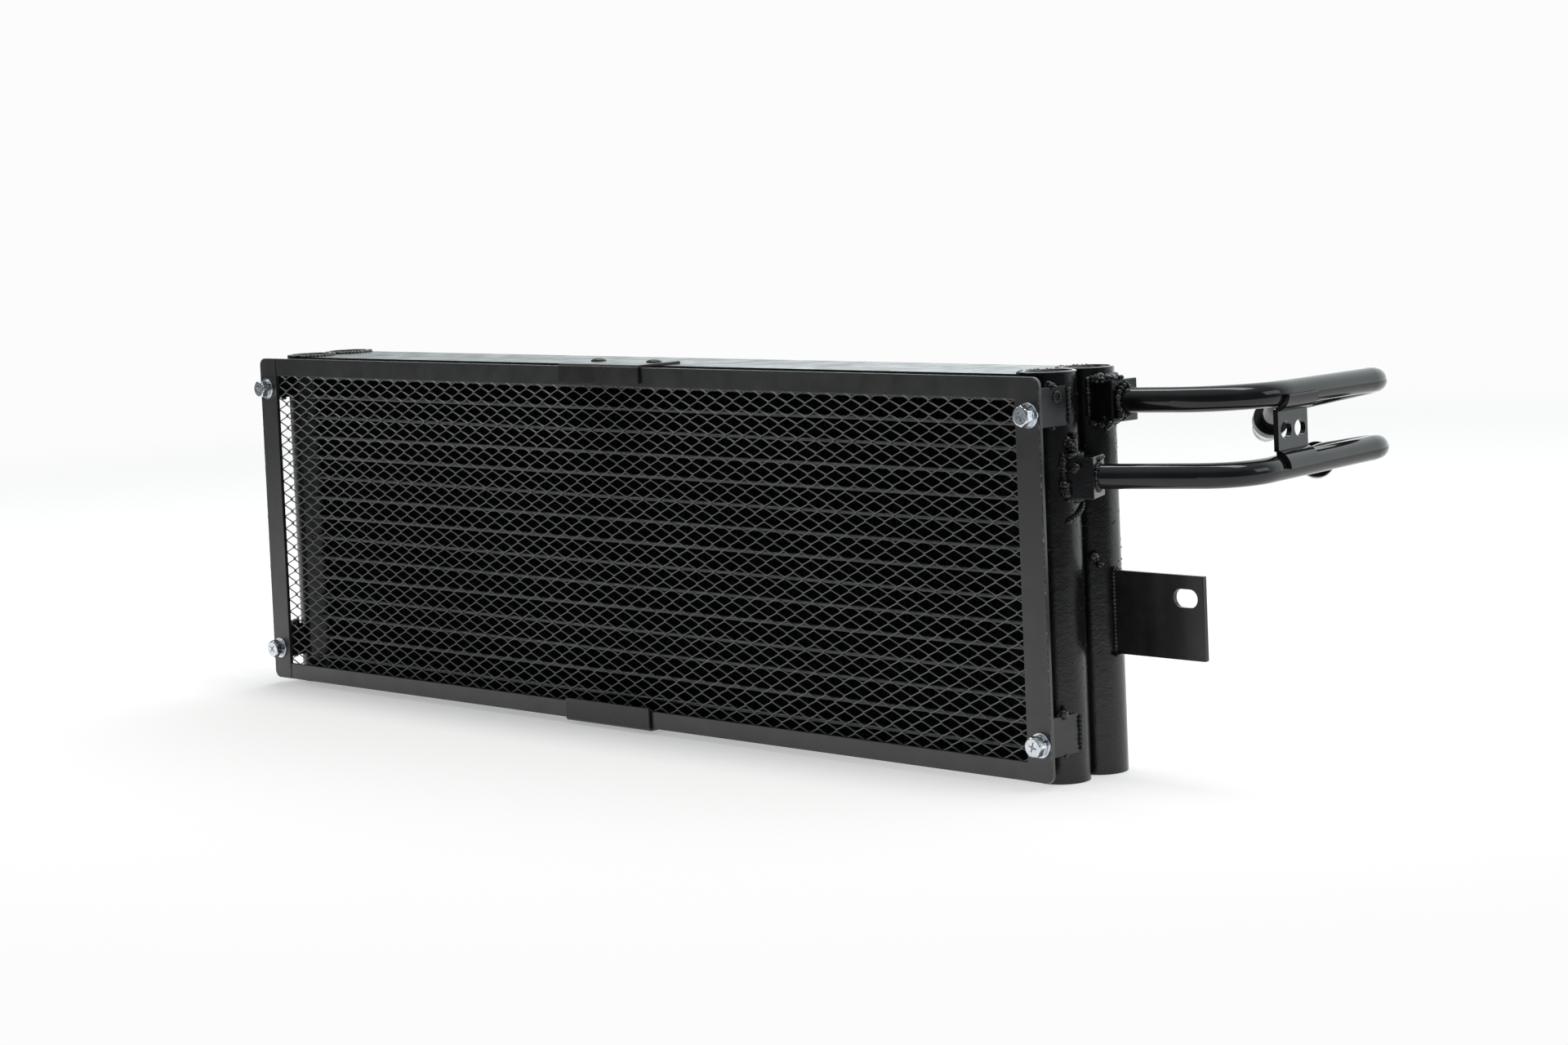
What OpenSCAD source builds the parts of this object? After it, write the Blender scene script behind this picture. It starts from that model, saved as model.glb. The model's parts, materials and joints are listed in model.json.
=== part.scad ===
// Hydraulic oil cooler: two rows of flat tubes between four round header tubes, with a bolted
// diamond-mesh guard in front and two bent oil pipes on the right-hand side.
// Millimetres. +X runs to the pipe end, +Y from the guard to the back, +Z up.
// The origin is the centre of the bounding box on the surface that the headers stand on.

/* [Guard frame] */
// Width over the two side bars
guard_w = 861; // [820:1:900]
// Height of the lower edge above the surface the headers stand on
guard_bottom_z = 4.7; // [3.5:0.1:6]
// Height of the guard frame
guard_h = 269.8; // [268:0.1:272]
// Width of each side bar
side_bar_w = 21.5; // [19:0.5:24]
// Width of the top bar
top_bar_w = 14.5; // [12:0.5:18]
// Width of the bottom bar
bottom_bar_w = 12.9; // [10:0.5:18]
// Thickness of the flat bar
bar_t = 3; // [2.5:0.1:3.5]
// How far the top and bottom bars sit behind the face of the side bars
lap_step = 0.5; // [0:0.1:1]
// Radius of the guard's outer corners
guard_corner_r = 6; // [2:0.5:9]

/* [Guard mesh] */
// Long way of one diamond, nominal; twice as coarse as the real sheet
mesh_long = 36.5; // [18.25:0.25:40]
// Short way of one diamond, nominal; twice as coarse as the real sheet
mesh_short = 20; // [10:0.25:24]
// Width of one strand
mesh_strand = 1.3; // [1:0.1:2]
// Gap between two strands at their bonds
mesh_gap = 0.04; // [0.02:0.01:0.1]
// Thickness of the expanded sheet
mesh_t = 1.2; // [0.8:0.1:1.6]

/* [Guard fasteners] */
// Bolt thread diameter
bolt_d = 8; // [6:1:8]
// Hexagon head, across flats
bolt_af = 13; // [10:1:13]
// Hexagon head height
bolt_head_h = 5.6; // [5:0.1:6]
// Bolt length under the head
bolt_len = 16; // [14:1:18]
// Flat washer outer diameter
washer_d = 17; // [15:1:18]
// Flat washer thickness
washer_t = 1.6; // [1.2:0.1:2]
// Spring washer outer diameter
spring_d = 14; // [12:0.5:14.5]
// Spring washer thickness
spring_t = 2; // [1.6:0.1:2.2]
// Distance of the bolts from the middle of the guard
bolt_x = 421.3; // [419:0.1:422]
// Height of the lower bolts
bolt_low_z = 30.1; // [28:0.1:34]
// Height of the upper bolts
bolt_high_z = 249.3; // [240:0.1:250]

/* [Guard brackets] */
// Sheet thickness of the brackets
bracket_t = 3; // [2.5:0.5:4]
// Distance of a bracket's near edge from the inner edge of its side bar
bracket_inset = 4.5; // [2:0.5:6]
// Width of the leg behind the side bar
bracket_leg = 13.5; // [12:0.5:15]
// How far a bracket reaches below its bolt
bracket_below = 9; // [8:0.5:10]
// Height of a bracket
bracket_h = 26.5; // [20:0.5:30]
// Radius of the tapped collar
collar_r = 5.4; // [5:0.1:6]

/* [Headers] */
// Outer diameter of a header tube
header_d = 38; // [36:0.5:39]
// Wall thickness of a header tube
header_wall = 3; // [2:0.5:3]
// Length of a header tube
header_h = 276; // [275.5:0.1:278]
// Distance of the header centres from the middle of the guard
header_x = 408.4; // [406:0.1:410]
// Depth of the front header centres behind the guard's face
front_row_y = 36.1; // [35:0.1:38]
// Distance from the front row to the rear row
row_pitch = 39.6; // [39.2:0.1:41]

/* [Core] */
// Flat tubes in each row
tube_count = 15; // [10:1:17]
// Thickness of a flat tube
tube_t = 3; // [2.5:0.1:3.5]
// Depth of a flat tube
tube_depth = 30; // [28:0.5:30]
// Wall of a flat tube
tube_wall = 0.5; // [0.4:0.1:0.6]
// Height of the top of the bottom side plate
core_bottom_z = 7; // [6.5:0.1:8]
// Height of the underside of the top side plate
core_top_z = 273; // [272:0.1:273.5]
// Depth of the side plates
plate_depth = 70; // [66:1:74]
// Thickness of fin sheet, measured upright
fin_t = 0.6; // [0.4:0.1:1]
// Length of one fin fold
fin_fold = 20; // [16:1:26]
// Length of one turbulator fold
turbulator_fold = 40; // [30:1:60]

/* [Clips] */
// Sheet thickness of the clips
clip_t = 1.9; // [1.5:0.1:2]
// Width of the top clip
top_clip_w = 89.2; // [80:0.1:100]
// Width of the bottom clip
bottom_clip_w = 93.8; // [80:0.1:100]
// Sideways place of the top clip's middle
top_clip_x = -1.9; // [-10:0.1:10]
// Sideways place of the bottom clip's middle
bottom_clip_x = -8.6; // [-15:0.1:10]
// How far a clip reaches back over the core
clip_reach = 42; // [38:1:50]
// How far the top clip's lip hangs down over the guard
top_lip_h = 12; // [8:0.5:14]
// How far the bottom clip's lip stands up over the guard
bottom_lip_h = 15.3; // [8:0.5:18]
// Distance between the two rivets of a clip
rivet_pitch = 62; // [50:1:70]
// Depth of the rivets behind the guard's face
rivet_y = 28; // [25:0.5:34]
// Rivet head diameter
rivet_head_d = 12; // [9:0.5:13]
// Rivet head height
rivet_head_h = 2.3; // [1.8:0.1:2.6]

/* [Boss blocks] */
// Width of the inlet block
inlet_block_w = 27; // [25:0.5:29]
// Height of the inlet block
inlet_block_h = 28.5; // [25:0.5:30]
// Distance of the inlet block's face from its header's axis
inlet_block_reach = 32.6; // [30:0.1:35]
// Height of the inlet block's middle
inlet_z = 253.7; // [250:0.1:256]
// Width of the outlet block
outlet_block_w = 28; // [25:0.5:29]
// Height of the outlet block
outlet_block_h = 28; // [25:0.5:30]
// Distance of the outlet block's face from its header's axis
outlet_block_reach = 32.6; // [30:0.1:35]
// Height of the outlet block's middle
outlet_z = 204.8; // [200:0.1:210]
// Turn of the outlet block about its header
outlet_turn = 24; // [20:1:26]

/* [Oil pipes] */
// Pipe outer diameter
pipe_d = 17.2; // [16:0.1:18]
// Pipe wall
pipe_wall = 2.3; // [1.5:0.1:2.6]
// Sideways place of the long pipe legs
pipe_x = 527.5; // [520:0.5:540]
// Depth at which the inlet pipe turns to the back
inlet_turn_y = 88; // [84:1:95]
// How far the inlet pipe climbs before it turns to the back
inlet_climb = 1.5; // [0:0.1:3]
// Depth at which both pipes turn across the back
cross_turn_y = 256; // [245:1:280]
// Radius of the inlet pipe's first bend
inlet_bend_r = 55; // [30:1:58]
// Radius of the outlet pipe's first bend
outlet_bend_r = 45; // [30:1:50]
// Radius of the other bends
rear_bend_r = 25; // [22:1:26]
// Length of the inlet pipe's leg across the back
inlet_cross_leg = 94.9; // [75:0.1:120]
// Length of the outlet pipe's leg across the back
outlet_cross_leg = 63.4; // [58:0.1:90]
// Fall of the inlet pipe's leg across the back, in degrees
inlet_fall = 11.8; // [0:0.1:14]
// Fall of the outlet pipe's leg across the back, in degrees
outlet_fall = 9.6; // [0:0.1:12]
// Rise of the inlet pipe's long leg, in degrees
inlet_rise = 0.5; // [0:0.1:2]
// Rise of the outlet pipe's long leg, in degrees
outlet_rise = 2; // [0:0.1:3]
// Length of the inlet pipe's last stub
inlet_stub = 35.2; // [30:0.1:60]
// Length of the outlet pipe's last stub
outlet_stub = 18; // [16:0.1:40]

/* [End fittings] */
// Shoulder diameter
shoulder_d = 26; // [22:1:30]
// Shoulder length
shoulder_len = 8; // [5:0.5:12]
// Nose diameter
nose_d = 19.3; // [18:0.1:21]
// Nose length
nose_len = 18; // [12:0.5:25]

/* [Pipe tie bracket] */
// Plate thickness of the web
tie_web_t = 4; // [3:0.5:5]
// Thickness of the two saddles
tie_saddle_t = 3.3; // [2:0.1:4]
// Width along the pipes
tie_w = 32.4; // [30:0.2:40]
// Depth of the bracket's middle
tie_y = 141.9; // [140:0.1:180]
// Diameter of the two holes
tie_hole_d = 12; // [8:0.5:13]
// Distance between the two holes
tie_hole_pitch = 15.4; // [15:0.1:20]

/* [Mounting tab] */
// Plate thickness
tab_t = 4; // [3:0.5:6]
// Distance of the tab's free edge from the middle of the guard
tab_edge_x = 503; // [490:1:520]
// Height of the tab's lower edge
tab_low_z = 81.8; // [70:0.1:90]
// Height of the tab plate
tab_h = 56.8; // [50:0.1:70]
// Distance of the slot's middle from the free edge
slot_inset_x = 15.2; // [13:0.1:20]
// Distance of the slot's middle from the tab's top edge
slot_inset_z = 15.5; // [10:0.1:25]
// Slot length, end to end
slot_len = 20; // [16:0.5:24]
// Slot width
slot_w = 12.3; // [9:0.1:13]

/* [Hidden] */
$fn = 64;

paint = [0.07, 0.07, 0.075];
satin = [0.13, 0.13, 0.13];
zinc = [0.78, 0.8, 0.83];
bare = [0.55, 0.55, 0.56];

// Cutters reach this far past the solid they cut
eps = 1;
// Radial play of the bolts in the side bars and in their washers
bolt_play = 0.5;
washer_play = 0.2;
// Gap left round a pipe in its pocket and in the tie bracket's saddles
pipe_gap = 0.1;

guard_top_z = guard_bottom_z + guard_h;
side_inner_x = guard_w / 2 - side_bar_w;
mesh_low_z = guard_bottom_z + bottom_bar_w;
mesh_high_z = guard_top_z - top_bar_w;

header_r = header_d / 2;
header_bore_r = header_r - header_wall;
rear_row_y = front_row_y + row_pitch;
cap_t = 4;
cap_recess = 2;
bush_r = 8;
bush_bore_r = 6;
bush_inset = 13;
bush_heights = [60, 216];

plate_front_y = (front_row_y + rear_row_y - plate_depth) / 2;
plate_reach = header_x - header_d / 4;
tube_end_x = header_x - 4;
fin_h = (core_top_z - core_bottom_z - tube_count * tube_t) / (tube_count + 1);
tube_pitch = fin_h + tube_t;
fin_end_x = header_x - header_r - 1;

oil_bore_r = 6.3;
pipe_r = pipe_d / 2;
pipe_bore_r = pipe_r - pipe_wall;
pocket_depth = 6;
// A bend's wall is a hair thicker than the straight's, and the straights lap into it
bend_swell = 0.04;
bend_lap = 0.8;

// Outlet block direction, seen from above
outlet_dir = [cos(outlet_turn), sin(outlet_turn), 0];
inlet_face = [header_x + inlet_block_reach, rear_row_y, inlet_z];
outlet_face = [header_x, front_row_y, outlet_z] + outlet_block_reach * outlet_dir;

// Both pipes: block pocket, first bend, bend across the back, last bend, fitting face
inlet_corner = [pipe_x, inlet_turn_y, inlet_z + inlet_climb];
outlet_corner = outlet_face + outlet_dir * (pipe_x - outlet_face[0]) / outlet_dir[0];
inlet_cross = leg_point(inlet_corner, inlet_rise, cross_turn_y);
outlet_cross = leg_point(outlet_corner, outlet_rise, cross_turn_y);
inlet_last = inlet_cross + inlet_cross_leg * [-cos(inlet_fall), 0, -sin(inlet_fall)];
outlet_last = outlet_cross + outlet_cross_leg * [-cos(outlet_fall), 0, -sin(outlet_fall)];
inlet_stub_dir = unit([-0.70, 0.625, -0.41]);
outlet_stub_dir = unit([-0.58, 0.775, -0.24]);
inlet_end = inlet_last + inlet_stub * inlet_stub_dir;
outlet_end = outlet_last + outlet_stub * outlet_stub_dir;
inlet_dir = unit(inlet_corner - inlet_face);
inlet_route = [inlet_face - pocket_depth * inlet_dir, inlet_corner, inlet_cross, inlet_last, inlet_end];
outlet_route = [outlet_face - pocket_depth * outlet_dir, outlet_corner, outlet_cross, outlet_last,
    outlet_end];
inlet_radii = [0, inlet_bend_r, rear_bend_r, rear_bend_r];
outlet_radii = [0, outlet_bend_r, rear_bend_r, rear_bend_r];

nose_chamfer = 1;
slot_x = tab_edge_x - slot_inset_x;
slot_z = tab_low_z + tab_h - slot_inset_z;
saddle_r = pipe_r + pipe_gap;

// Bounding box of the whole cooler, from which the origin follows
bolt_stack = washer_t + spring_t + bolt_head_h;
box_low_x = -guard_w / 2;
box_high_x = pipe_x + saddle_r + tie_saddle_t;
box_low_y = -bolt_stack;
nose_rim = inlet_end + (shoulder_len + nose_len - nose_chamfer) * inlet_stub_dir;
box_high_y = nose_rim[1] + nose_d / 2 * sqrt(1 - pow(inlet_stub_dir[1], 2));
origin_shift = [-(box_low_x + box_high_x) / 2, -(box_low_y + box_high_y) / 2, 0];

function unit(v) = v / norm(v);
// The point at depth y on a long leg that starts at corner and climbs by rise degrees
function leg_point(corner, rise, y) = [corner[0], y, corner[2] + (y - corner[1]) * tan(rise)];
function turn_angle(a, b) = acos(min(1, max(-1, a * b)));
// Any direction square to d
function side_of(d) = unit(abs(d[2]) < 0.9 ? cross([0, 0, 1], d) : cross([1, 0, 0], d));

module place() {
    translate(origin_shift) children();
}

// Puts the children's X, Y and Z axes along three square directions at a point
module frame_at(p, ax, ay, az) {
    multmatrix([
        [ax[0], ay[0], az[0], p[0]],
        [ax[1], ay[1], az[1], p[1]],
        [ax[2], ay[2], az[2], p[2]],
        [0, 0, 0, 1]]) children();
}

// Puts the children's Z axis along d at a point
module aim(p, d) {
    s = side_of(d);
    frame_at(p, s, cross(d, s), d) children();
}

// Extrudes a YZ outline along X, between two X values
module along_x(x0, x1) {
    translate([x0, 0, 0]) rotate([90, 0, 90]) linear_extrude(x1 - x0) children();
}

// Extrudes an XZ outline along Y, between two Y values
module along_y(y0, y1) {
    translate([0, y1, 0]) rotate([90, 0, 0]) linear_extrude(y1 - y0) children();
}

// A straight tube between two points of a route, longer at its ends by the laps given
module run_straight(p0, p1, r, hole_r, laps) {
    length = norm(p1 - p0) + laps[0] + laps[1];
    d = unit(p1 - p0);
    aim(p0 - laps[0] * d, d) difference() {
        cylinder(h = length, r = r);
        translate([0, 0, -eps]) cylinder(h = length + 2 * eps, r = hole_r);
    }
}

// The bend of a route at corner p, from direction d0 to direction d1
module run_bend(p, d0, d1, bend_r, r, hole_r) {
    angle = turn_angle(d0, d1);
    inward = unit(d1 - (d0 * d1) * d0);
    start = p - d0 * bend_r * tan(angle / 2);
    frame_at(start + bend_r * inward, -inward, d0, cross(-inward, d0))
        rotate_extrude(angle = angle) translate([bend_r, 0]) difference() {
            circle(r + bend_swell);
            circle(hole_r - bend_swell);
        }
}

function tangent(route, radii, i) = i <= 0 || i >= len(route) - 1 ? 0 :
    radii[i] * tan(turn_angle(unit(route[i] - route[i - 1]), unit(route[i + 1] - route[i])) / 2);

// A bent tube along a route of corners
module bent_tube(route, radii, r, hole_r) {
    for (i = [0 : len(route) - 2]) {
        d = unit(route[i + 1] - route[i]);
        run_straight(route[i] + tangent(route, radii, i) * d,
            route[i + 1] - tangent(route, radii, i + 1) * d, r, hole_r,
            [i > 0 ? bend_lap : 0, i < len(route) - 2 ? bend_lap : 0]);
    }
    for (i = [1 : len(route) - 2])
        run_bend(route[i], unit(route[i] - route[i - 1]), unit(route[i + 1] - route[i]),
            radii[i], r, hole_r);
}

module obround(length, width) {
    square([length - width, width], center = true);
    for (s = [-1, 1])
        translate([s * (length - width) / 2, 0]) circle(width / 2);
}

function tube_z(i) = core_bottom_z + fin_h + tube_t / 2 + i * tube_pitch;

module header_cutter(x, y) {
    translate([x, y, -eps]) cylinder(h = header_h + 2 * eps, r = header_r);
}

// A header tube with a slot for the end of each flat tube; side is -1 left, 1 right
module header_tube(side, y) {
    color(paint) place() difference() {
        translate([side * header_x, y, 0]) cylinder(h = header_h, r = header_r);
        translate([side * header_x, y, -eps]) cylinder(h = header_h + 2 * eps, r = header_bore_r);
        for (i = [0 : tube_count - 1])
            along_x(min(side * tube_end_x, side * (tube_end_x - header_d)),
                max(side * tube_end_x, side * (tube_end_x - header_d)))
                translate([y, tube_z(i)]) obround(tube_depth, tube_t);
        children();
    }
}

module crossover_cutter() {
    for (z = bush_heights)
        translate([-header_x, front_row_y, z]) rotate([-90, 0, 0]) cylinder(h = row_pitch, r = bush_r);
}

module header_front_left() {
    header_tube(-1, front_row_y) crossover_cutter();
}

module header_rear_left() {
    header_tube(-1, rear_row_y) crossover_cutter();
}

module header_front_right() {
    header_tube(1, front_row_y)
        translate([header_x, front_row_y, outlet_z]) rotate([0, 90, outlet_turn])
            cylinder(h = header_d, r = oil_bore_r);
}

module header_rear_right() {
    header_tube(1, rear_row_y)
        translate([header_x, rear_row_y, inlet_z]) rotate([0, 90, 0])
            cylinder(h = header_d, r = oil_bore_r);
}

module header_caps(z) {
    color(paint) place()
        for (x = [-header_x, header_x], y = [front_row_y, rear_row_y])
            translate([x, y, z]) cylinder(h = cap_t, r = header_bore_r);
}

module header_top_caps() {
    header_caps(header_h - cap_recess - cap_t);
}

module header_bottom_caps() {
    header_caps(cap_recess);
}

// Short tubes that carry the oil from the rear row to the front row at the left end
module crossover_bushes() {
    color(paint) place()
        for (z = bush_heights)
            translate([-header_x, front_row_y + bush_inset, z]) rotate([-90, 0, 0]) difference() {
                cylinder(h = row_pitch - 2 * bush_inset, r = bush_r);
                translate([0, 0, -eps]) cylinder(h = row_pitch, r = bush_bore_r);
            }
}

module core_tubes(y) {
    color(satin) place()
        for (i = [0 : tube_count - 1])
            along_x(-tube_end_x, tube_end_x) translate([y, tube_z(i)]) difference() {
                obround(tube_depth, tube_t);
                obround(tube_depth - 2 * tube_wall, tube_t - 2 * tube_wall);
            }
}

module front_core_tubes() {
    core_tubes(front_row_y);
}

module rear_core_tubes() {
    core_tubes(rear_row_y);
}

// A zigzag strip in the XZ plane between two heights, folded at even steps
module zigzag(half_len, fold, z0, z1, strip_t) {
    n = floor(2 * half_len / fold);
    start = -n * fold / 2;
    low = [for (i = [0 : n]) [start + i * fold, i % 2 == 0 ? z0 : z1 - strip_t]];
    high = [for (i = [n : -1 : 0]) [low[i][0], low[i][1] + strip_t]];
    polygon(concat(low, high));
}

module turbulators(y) {
    inner_h = tube_t - 2 * tube_wall;
    color(bare) place()
        for (i = [0 : tube_count - 1])
            along_y(y - tube_depth / 2 + tube_t, y + tube_depth / 2 - tube_t)
                zigzag(tube_end_x - tube_t, turbulator_fold, tube_z(i) - inner_h / 2,
                    tube_z(i) + inner_h / 2, tube_wall);
}

module front_turbulators() {
    turbulators(front_row_y);
}

module rear_turbulators() {
    turbulators(rear_row_y);
}

module core_fins(y) {
    color(paint) place()
        for (i = [0 : tube_count])
            along_y(y - tube_depth / 2 + 1, y + tube_depth / 2 - 1)
                zigzag(fin_end_x, fin_fold, core_bottom_z + i * tube_pitch,
                    core_bottom_z + i * tube_pitch + fin_h, fin_t);
}

module front_fins() {
    core_fins(front_row_y);
}

module rear_fins() {
    core_fins(rear_row_y);
}

module rivet_holes(clip_x) {
    for (s = [-1, 1])
        translate([clip_x + s * rivet_pitch / 2, rivet_y, -eps])
            cylinder(h = header_h + 2 * eps + rivet_head_h, r = rivet_head_d / 5);
}

// A side plate between two heights, cut away round the headers
module side_plate(z0, z1, clip_x) {
    color(paint) place() difference() {
        translate([-plate_reach, plate_front_y, z0]) cube([2 * plate_reach, plate_depth, z1 - z0]);
        for (x = [-header_x, header_x], y = [front_row_y, rear_row_y]) header_cutter(x, y);
        rivet_holes(clip_x);
    }
}

module top_side_plate() {
    side_plate(core_top_z, guard_top_z, top_clip_x);
}

module bottom_side_plate() {
    side_plate(guard_bottom_z, core_bottom_z, bottom_clip_x);
}

// Top or bottom bar between the side bars
module cross_bar(z0, z1) {
    color(satin) place()
        translate([-side_inner_x, lap_step, z0])
            cube([2 * side_inner_x, bar_t - lap_step, z1 - z0]);
}

module guard_top_bar() {
    cross_bar(mesh_high_z, guard_top_z);
}

module guard_bottom_bar() {
    cross_bar(guard_bottom_z, mesh_low_z);
}

// What a round corner leaves out of a square one, at the origin, for a corner at [r, r]
module corner_waste(r) {
    difference() {
        square(r + eps);
        circle(r);
    }
}

// A side bar with two bolt holes and round outer corners; side is -1 left, 1 right
module side_bar(side) {
    color(satin) place() mirror([side < 0 ? 1 : 0, 0, 0]) difference() {
        along_y(0, bar_t) difference() {
            translate([side_inner_x, guard_bottom_z]) square([side_bar_w, guard_h]);
            translate([guard_w / 2 - guard_corner_r, guard_top_z - guard_corner_r])
                corner_waste(guard_corner_r);
            translate([guard_w / 2 - guard_corner_r, guard_bottom_z + guard_corner_r])
                mirror([0, 1]) corner_waste(guard_corner_r);
        }
        for (z = [bolt_low_z, bolt_high_z])
            translate([bolt_x, -eps, z]) rotate([-90, 0, 0])
                cylinder(h = bar_t + 2 * eps, r = bolt_d / 2 + bolt_play);
    }
}

module guard_left_bar() {
    side_bar(-1);
}

module guard_right_bar() {
    side_bar(1);
}

// Expanded metal behind the bars: zigzag strands that all but touch at their bonds
module guard_mesh() {
    overlap = 1.5;
    low_z = mesh_low_z - overlap;
    window_h = mesh_high_z + overlap - low_z;
    rows = round(2 * window_h / mesh_short);
    row_h = window_h / rows;
    half_len = side_inner_x + overlap;
    fold = half_len / round(2 * half_len / mesh_long);
    strand_h = mesh_strand * norm([fold, row_h]) / fold;
    top = row_h - mesh_gap;
    color(satin) place()
        for (j = [0 : rows - 1])
            along_y(bar_t, bar_t + mesh_t) translate([0, low_z + j * row_h])
                zigzag(half_len + eps, fold, j % 2 == 0 ? 0 : top - strand_h,
                    j % 2 == 0 ? top : strand_h, strand_h);
}

// L-shaped bracket from a header to the back of the side bar, with a tapped collar
module guard_bracket(side, z) {
    inner_x = side_inner_x + bracket_inset;
    outer_x = inner_x + bracket_leg;
    low_z = z - bracket_below;
    reach = front_row_y - header_r / 4 - bar_t;
    color(paint) place() mirror([side < 0 ? 1 : 0, 0, 0]) difference() {
        union() {
            translate([inner_x, bar_t, low_z]) cube([bracket_leg, bracket_t, bracket_h]);
            translate([outer_x - bracket_t, bar_t, low_z]) cube([bracket_t, reach, bracket_h]);
            translate([bolt_x, bar_t, z]) rotate([-90, 0, 0]) cylinder(h = 2 * bracket_t, r = collar_r);
        }
        translate([bolt_x, 0, z]) rotate([-90, 0, 0]) cylinder(h = front_row_y, r = bolt_d / 2);
        header_cutter(header_x, front_row_y);
    }
}

module guard_bracket_top_left() {
    guard_bracket(-1, bolt_high_z);
}

module guard_bracket_bottom_left() {
    guard_bracket(-1, bolt_low_z);
}

module guard_bracket_top_right() {
    guard_bracket(1, bolt_high_z);
}

module guard_bracket_bottom_right() {
    guard_bracket(1, bolt_low_z);
}

// Puts the children on each bolt axis, Z pointing out of the guard's front
module at_bolts() {
    for (x = [-bolt_x, bolt_x], z = [bolt_low_z, bolt_high_z])
        translate([x, 0, z]) rotate([90, 0, 0]) children();
}

// Hexagon bolts with a chamfered head and a cross recess
module guard_bolts() {
    seat = washer_t + spring_t;
    corner_r = bolt_af / 2 / cos(30);
    recess = [1.5, 6.4, 2];
    color(zinc) place() at_bolts() translate([0, 0, seat]) {
        difference() {
            intersection() {
                cylinder(h = bolt_head_h, r = corner_r, $fn = 6);
                cylinder(h = bolt_head_h, r1 = corner_r + bolt_head_h, r2 = bolt_af / 2 - 0.4);
            }
            for (a = [45, 135])
                rotate([0, 0, a]) translate([0, 0, bolt_head_h])
                    cube([recess[0], recess[1], 2 * recess[2]], center = true);
        }
        translate([0, 0, -bolt_len]) cylinder(h = bolt_len, r = bolt_d / 2);
    }
}

module spring_washers() {
    split = 1.2;
    color(zinc) place() at_bolts() translate([0, 0, washer_t]) difference() {
        cylinder(h = spring_t, r = spring_d / 2);
        translate([0, 0, -eps]) cylinder(h = spring_t + 2 * eps, r = bolt_d / 2 + washer_play);
        translate([0, -split / 2, -eps]) cube([spring_d, split, spring_t + 2 * eps]);
    }
}

module flat_washers() {
    color(zinc) place() at_bolts() difference() {
        cylinder(h = washer_t, r = washer_d / 2);
        translate([0, 0, -eps]) cylinder(h = washer_t + 2 * eps, r = bolt_d / 2 + washer_play);
    }
}

// Bent sheet clip in a YZ outline: a lip in front of the guard and a flange over the core
module clip_outline(lip_h) {
    difference() {
        union() {
            translate([-clip_t, 0]) square([clip_reach + clip_t, clip_t]);
            translate([-clip_t, -lip_h]) square([clip_t, lip_h + clip_t]);
        }
        mirror([1, 0]) corner_waste(clip_t);
    }
}

module top_clip() {
    color(satin) place() difference() {
        along_x(top_clip_x - top_clip_w / 2, top_clip_x + top_clip_w / 2)
            translate([0, guard_top_z]) clip_outline(top_lip_h);
        rivet_holes(top_clip_x);
    }
}

module bottom_clip() {
    color(satin) place() difference() {
        along_x(bottom_clip_x - bottom_clip_w / 2, bottom_clip_x + bottom_clip_w / 2)
            translate([0, guard_bottom_z]) mirror([0, 1]) clip_outline(bottom_lip_h);
        rivet_holes(bottom_clip_x);
    }
}

// A dome-headed rivet whose head rests on z = 0 and whose shank goes down
module rivet(shank_len) {
    head_r = rivet_head_d / 2;
    dome_r = (pow(head_r, 2) + pow(rivet_head_h, 2)) / (2 * rivet_head_h);
    intersection() {
        translate([0, 0, rivet_head_h - dome_r]) sphere(dome_r);
        cylinder(h = rivet_head_d, r = rivet_head_d);
    }
    translate([0, 0, -shank_len]) cylinder(h = shank_len, r = rivet_head_d / 5);
}

module clip_rivets(clip_x) {
    color(paint) place()
        for (s = [-1, 1])
            translate([clip_x + s * rivet_pitch / 2, rivet_y, 0]) children();
}

module top_clip_rivets() {
    clip_rivets(top_clip_x)
        translate([0, 0, guard_top_z + clip_t]) rivet(guard_top_z + clip_t - core_top_z);
}

module bottom_clip_rivets() {
    clip_rivets(bottom_clip_x)
        translate([0, 0, guard_bottom_z - clip_t]) mirror([0, 0, 1])
            rivet(core_bottom_z - guard_bottom_z + clip_t);
}

// A block saddled on its header, with a pocket for the pipe and a bore into the header
module boss_block(centre, turn, size, reach, face, dir) {
    color(paint) place() difference() {
        translate(centre) rotate([0, 0, turn])
            translate([header_r / 2, -size[0] / 2, -size[1] / 2])
                cube([reach - header_r / 2, size[0], size[1]]);
        header_cutter(centre[0], centre[1]);
        translate(centre) rotate([0, 90, turn]) cylinder(h = reach - pocket_depth / 2, r = oil_bore_r);
        aim(face - pocket_depth * dir, dir) cylinder(h = 2 * pocket_depth, r = pipe_r + pipe_gap);
    }
}

module inlet_boss_block() {
    boss_block([header_x, rear_row_y, inlet_z], 0, [inlet_block_w, inlet_block_h],
        inlet_block_reach, inlet_face, inlet_dir);
}

module outlet_boss_block() {
    boss_block([header_x, front_row_y, outlet_z], outlet_turn, [outlet_block_w, outlet_block_h],
        outlet_block_reach, outlet_face, outlet_dir);
}

module inlet_pipe() {
    color(paint) place() bent_tube(inlet_route, inlet_radii, pipe_r, pipe_bore_r);
}

module outlet_pipe() {
    color(paint) place() bent_tube(outlet_route, outlet_radii, pipe_r, pipe_bore_r);
}

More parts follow.
